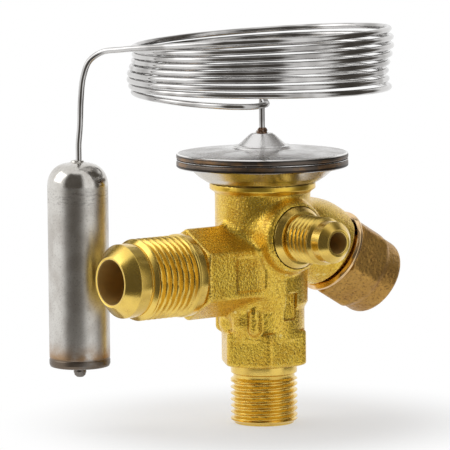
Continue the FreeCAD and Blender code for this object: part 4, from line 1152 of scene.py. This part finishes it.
def floor():
    """A pale table top that keeps the shadow near the valve and fades into white."""
    obj = turned("floor", [(floor_r, floor_z), (0, floor_z)], segments=96)
    mat = bpy.data.materials.new("floor_paper")
    mat.use_nodes = True
    tree = mat.node_tree
    n = Nodes(tree)
    shader = tree.nodes["Principled BSDF"]
    _, x, y, _ = n.place()
    shader.inputs["Base Color"].default_value = (0.86, 0.86, 0.86, 1.0)
    shader.inputs["Roughness"].default_value = 0.9
    shader.inputs["Specular IOR Level"].default_value = 0.1
    distance = n.vector("LENGTH", n.pair(x, y))
    seen = n.add("LightPath")
    shown = n.math("MAXIMUM", seen.outputs["Is Camera Ray"], seen.outputs["Is Glossy Ray"])
    shown = n.math("MAXIMUM", shown, seen.outputs["Is Transmission Ray"])
    fade = n.times(n.range(distance, 26.0, 66.0, 0.5, 1.0), shown)
    white = n.add("Emission")
    blend = n.add("MixShader", {0: fade, 1: shader.outputs[0], 2: white.outputs[0]})
    tree.links.new(blend.outputs[0], tree.nodes["Material Output"].inputs["Surface"])
    obj.data.materials.append(mat)


# The studio is white all round but for its dark cloths. Each stop is the azimuth from the
# camera in degrees, right of it positive, and how fully a cloth covers the white there.
WALL_CLOTHS = [(-180, 0.0), (-62, 0.0), (-46, 1.0), (16, 1.0), (30, 0.0), (62, 0.0), (74, 1.0),
               (116, 1.0), (130, 0.0), (180, 0.0)]
CEILING_CLOTHS = [(-180, 0.0), (70, 0.0), (90, 1.0), (160, 1.0), (172, 0.0), (180, 0.0)]
cloth_level = (0.11, 0.10, 0.088)
cloth_r = 1500.0


def dark_cloths():
    """Dark cloths that hang round the studio, out of the picture."""
    segments, rows = 72, 36
    points = []
    for i in range(rows + 1):
        a = math.pi * (i / rows - 0.5)
        for j in range(segments):
            b = 2 * math.pi * j / segments
            r = cloth_r * max(math.cos(a), 0.001)
            points.append((r * math.cos(b), r * math.sin(b), cloth_r * math.sin(a)))
    obj = new_object("dark_cloths", points, tube_faces(rows + 1, segments))
    mat = bpy.data.materials.new("dark_cloth")
    mat.use_nodes = True
    tree = mat.node_tree
    tree.nodes.remove(tree.nodes["Principled BSDF"])
    n = Nodes(tree)
    where, _, _, z = n.place()
    ahead = n.vector("DOT_PRODUCT", where, toward)
    right = n.vector("DOT_PRODUCT", where, rightward)
    height = n.math("DIVIDE", z, cloth_r)
    turn = n.math("MULTIPLY_ADD", n.math("ARCTAN2", right, ahead), 0.5 / math.pi, 0.5)
    wall = n.ramp(turn, [((a + 180) / 360, v) for a, v in WALL_CLOTHS])
    wall = n.times(wall, n.range(height, 0.84, 0.95, 1.0, 0.0))
    ceiling = n.ramp(turn, [((a + 180) / 360, v) for a, v in CEILING_CLOTHS])
    ceiling = n.times(ceiling, n.range(height, 0.52, 0.66))
    ceiling = n.times(ceiling, n.range(height, 0.84, 0.94, 0.8, 0.4))
    cover = n.math("MAXIMUM", wall, ceiling)
    dark = n.add("Emission", {"Color": cloth_level})
    clear = n.add("BsdfTransparent")
    blend = n.add("MixShader", {0: cover, 1: clear.outputs[0], 2: dark.outputs[0]})
    tree.links.new(blend.outputs[0], tree.nodes["Material Output"].inputs["Surface"])
    obj.data.materials.append(mat)
    obj.visible_camera = False


def world():
    """Plain white all round."""
    scene_world = bpy.data.worlds.new("studio")
    bpy.context.scene.world = scene_world
    scene_world.use_nodes = True
    background = scene_world.node_tree.nodes["Background"]
    background.inputs["Color"].default_value = (1.0, 1.0, 1.0, 1.0)


def key_light():
    """One large soft panel, high on the left and behind."""
    data = bpy.data.lights.new("key_panel", "AREA")
    data.shape = "RECTANGLE"
    data.size = data.size_y = 500 * MM
    data.energy = 0.9
    light = bpy.data.objects.new("key_panel", data)
    bpy.context.scene.collection.objects.link(light)
    place, aim = Vector((-520, 330, 420)) * MM, Vector((0, 0, 45)) * MM
    light.location = place
    light.rotation_euler = (aim - place).to_track_quat("-Z", "Y").to_euler()


def camera():
    """Where the photograph was taken from, with its slight roll."""
    data = bpy.data.cameras.new("camera")
    cam = bpy.data.objects.new("camera", data)
    bpy.context.scene.collection.objects.link(cam)
    eye, aim = Vector(camera_eye), Vector(camera_aim)
    back = (eye - aim).normalized()
    right = Vector((-back.y, back.x, 0)).normalized()
    up = back.cross(right)
    roll = math.radians(camera_roll)
    right, up = (right * math.cos(roll) + up * math.sin(roll),
                 up * math.cos(roll) - right * math.sin(roll))
    turn = Matrix((right, up, back)).transposed()
    cam.matrix_world = Matrix.Translation(eye * MM) @ turn.to_4x4()
    data.lens = camera_lens
    data.sensor_width = sensor_w
    data.clip_start, data.clip_end = 0.05, 20.0
    bpy.context.scene.camera = cam


bpy.context.scene.view_settings.view_transform = "Standard"
dress_inner_nodes()
build_pieces()
build_springs()
floor()
dark_cloths()
world()
key_light()
camera()
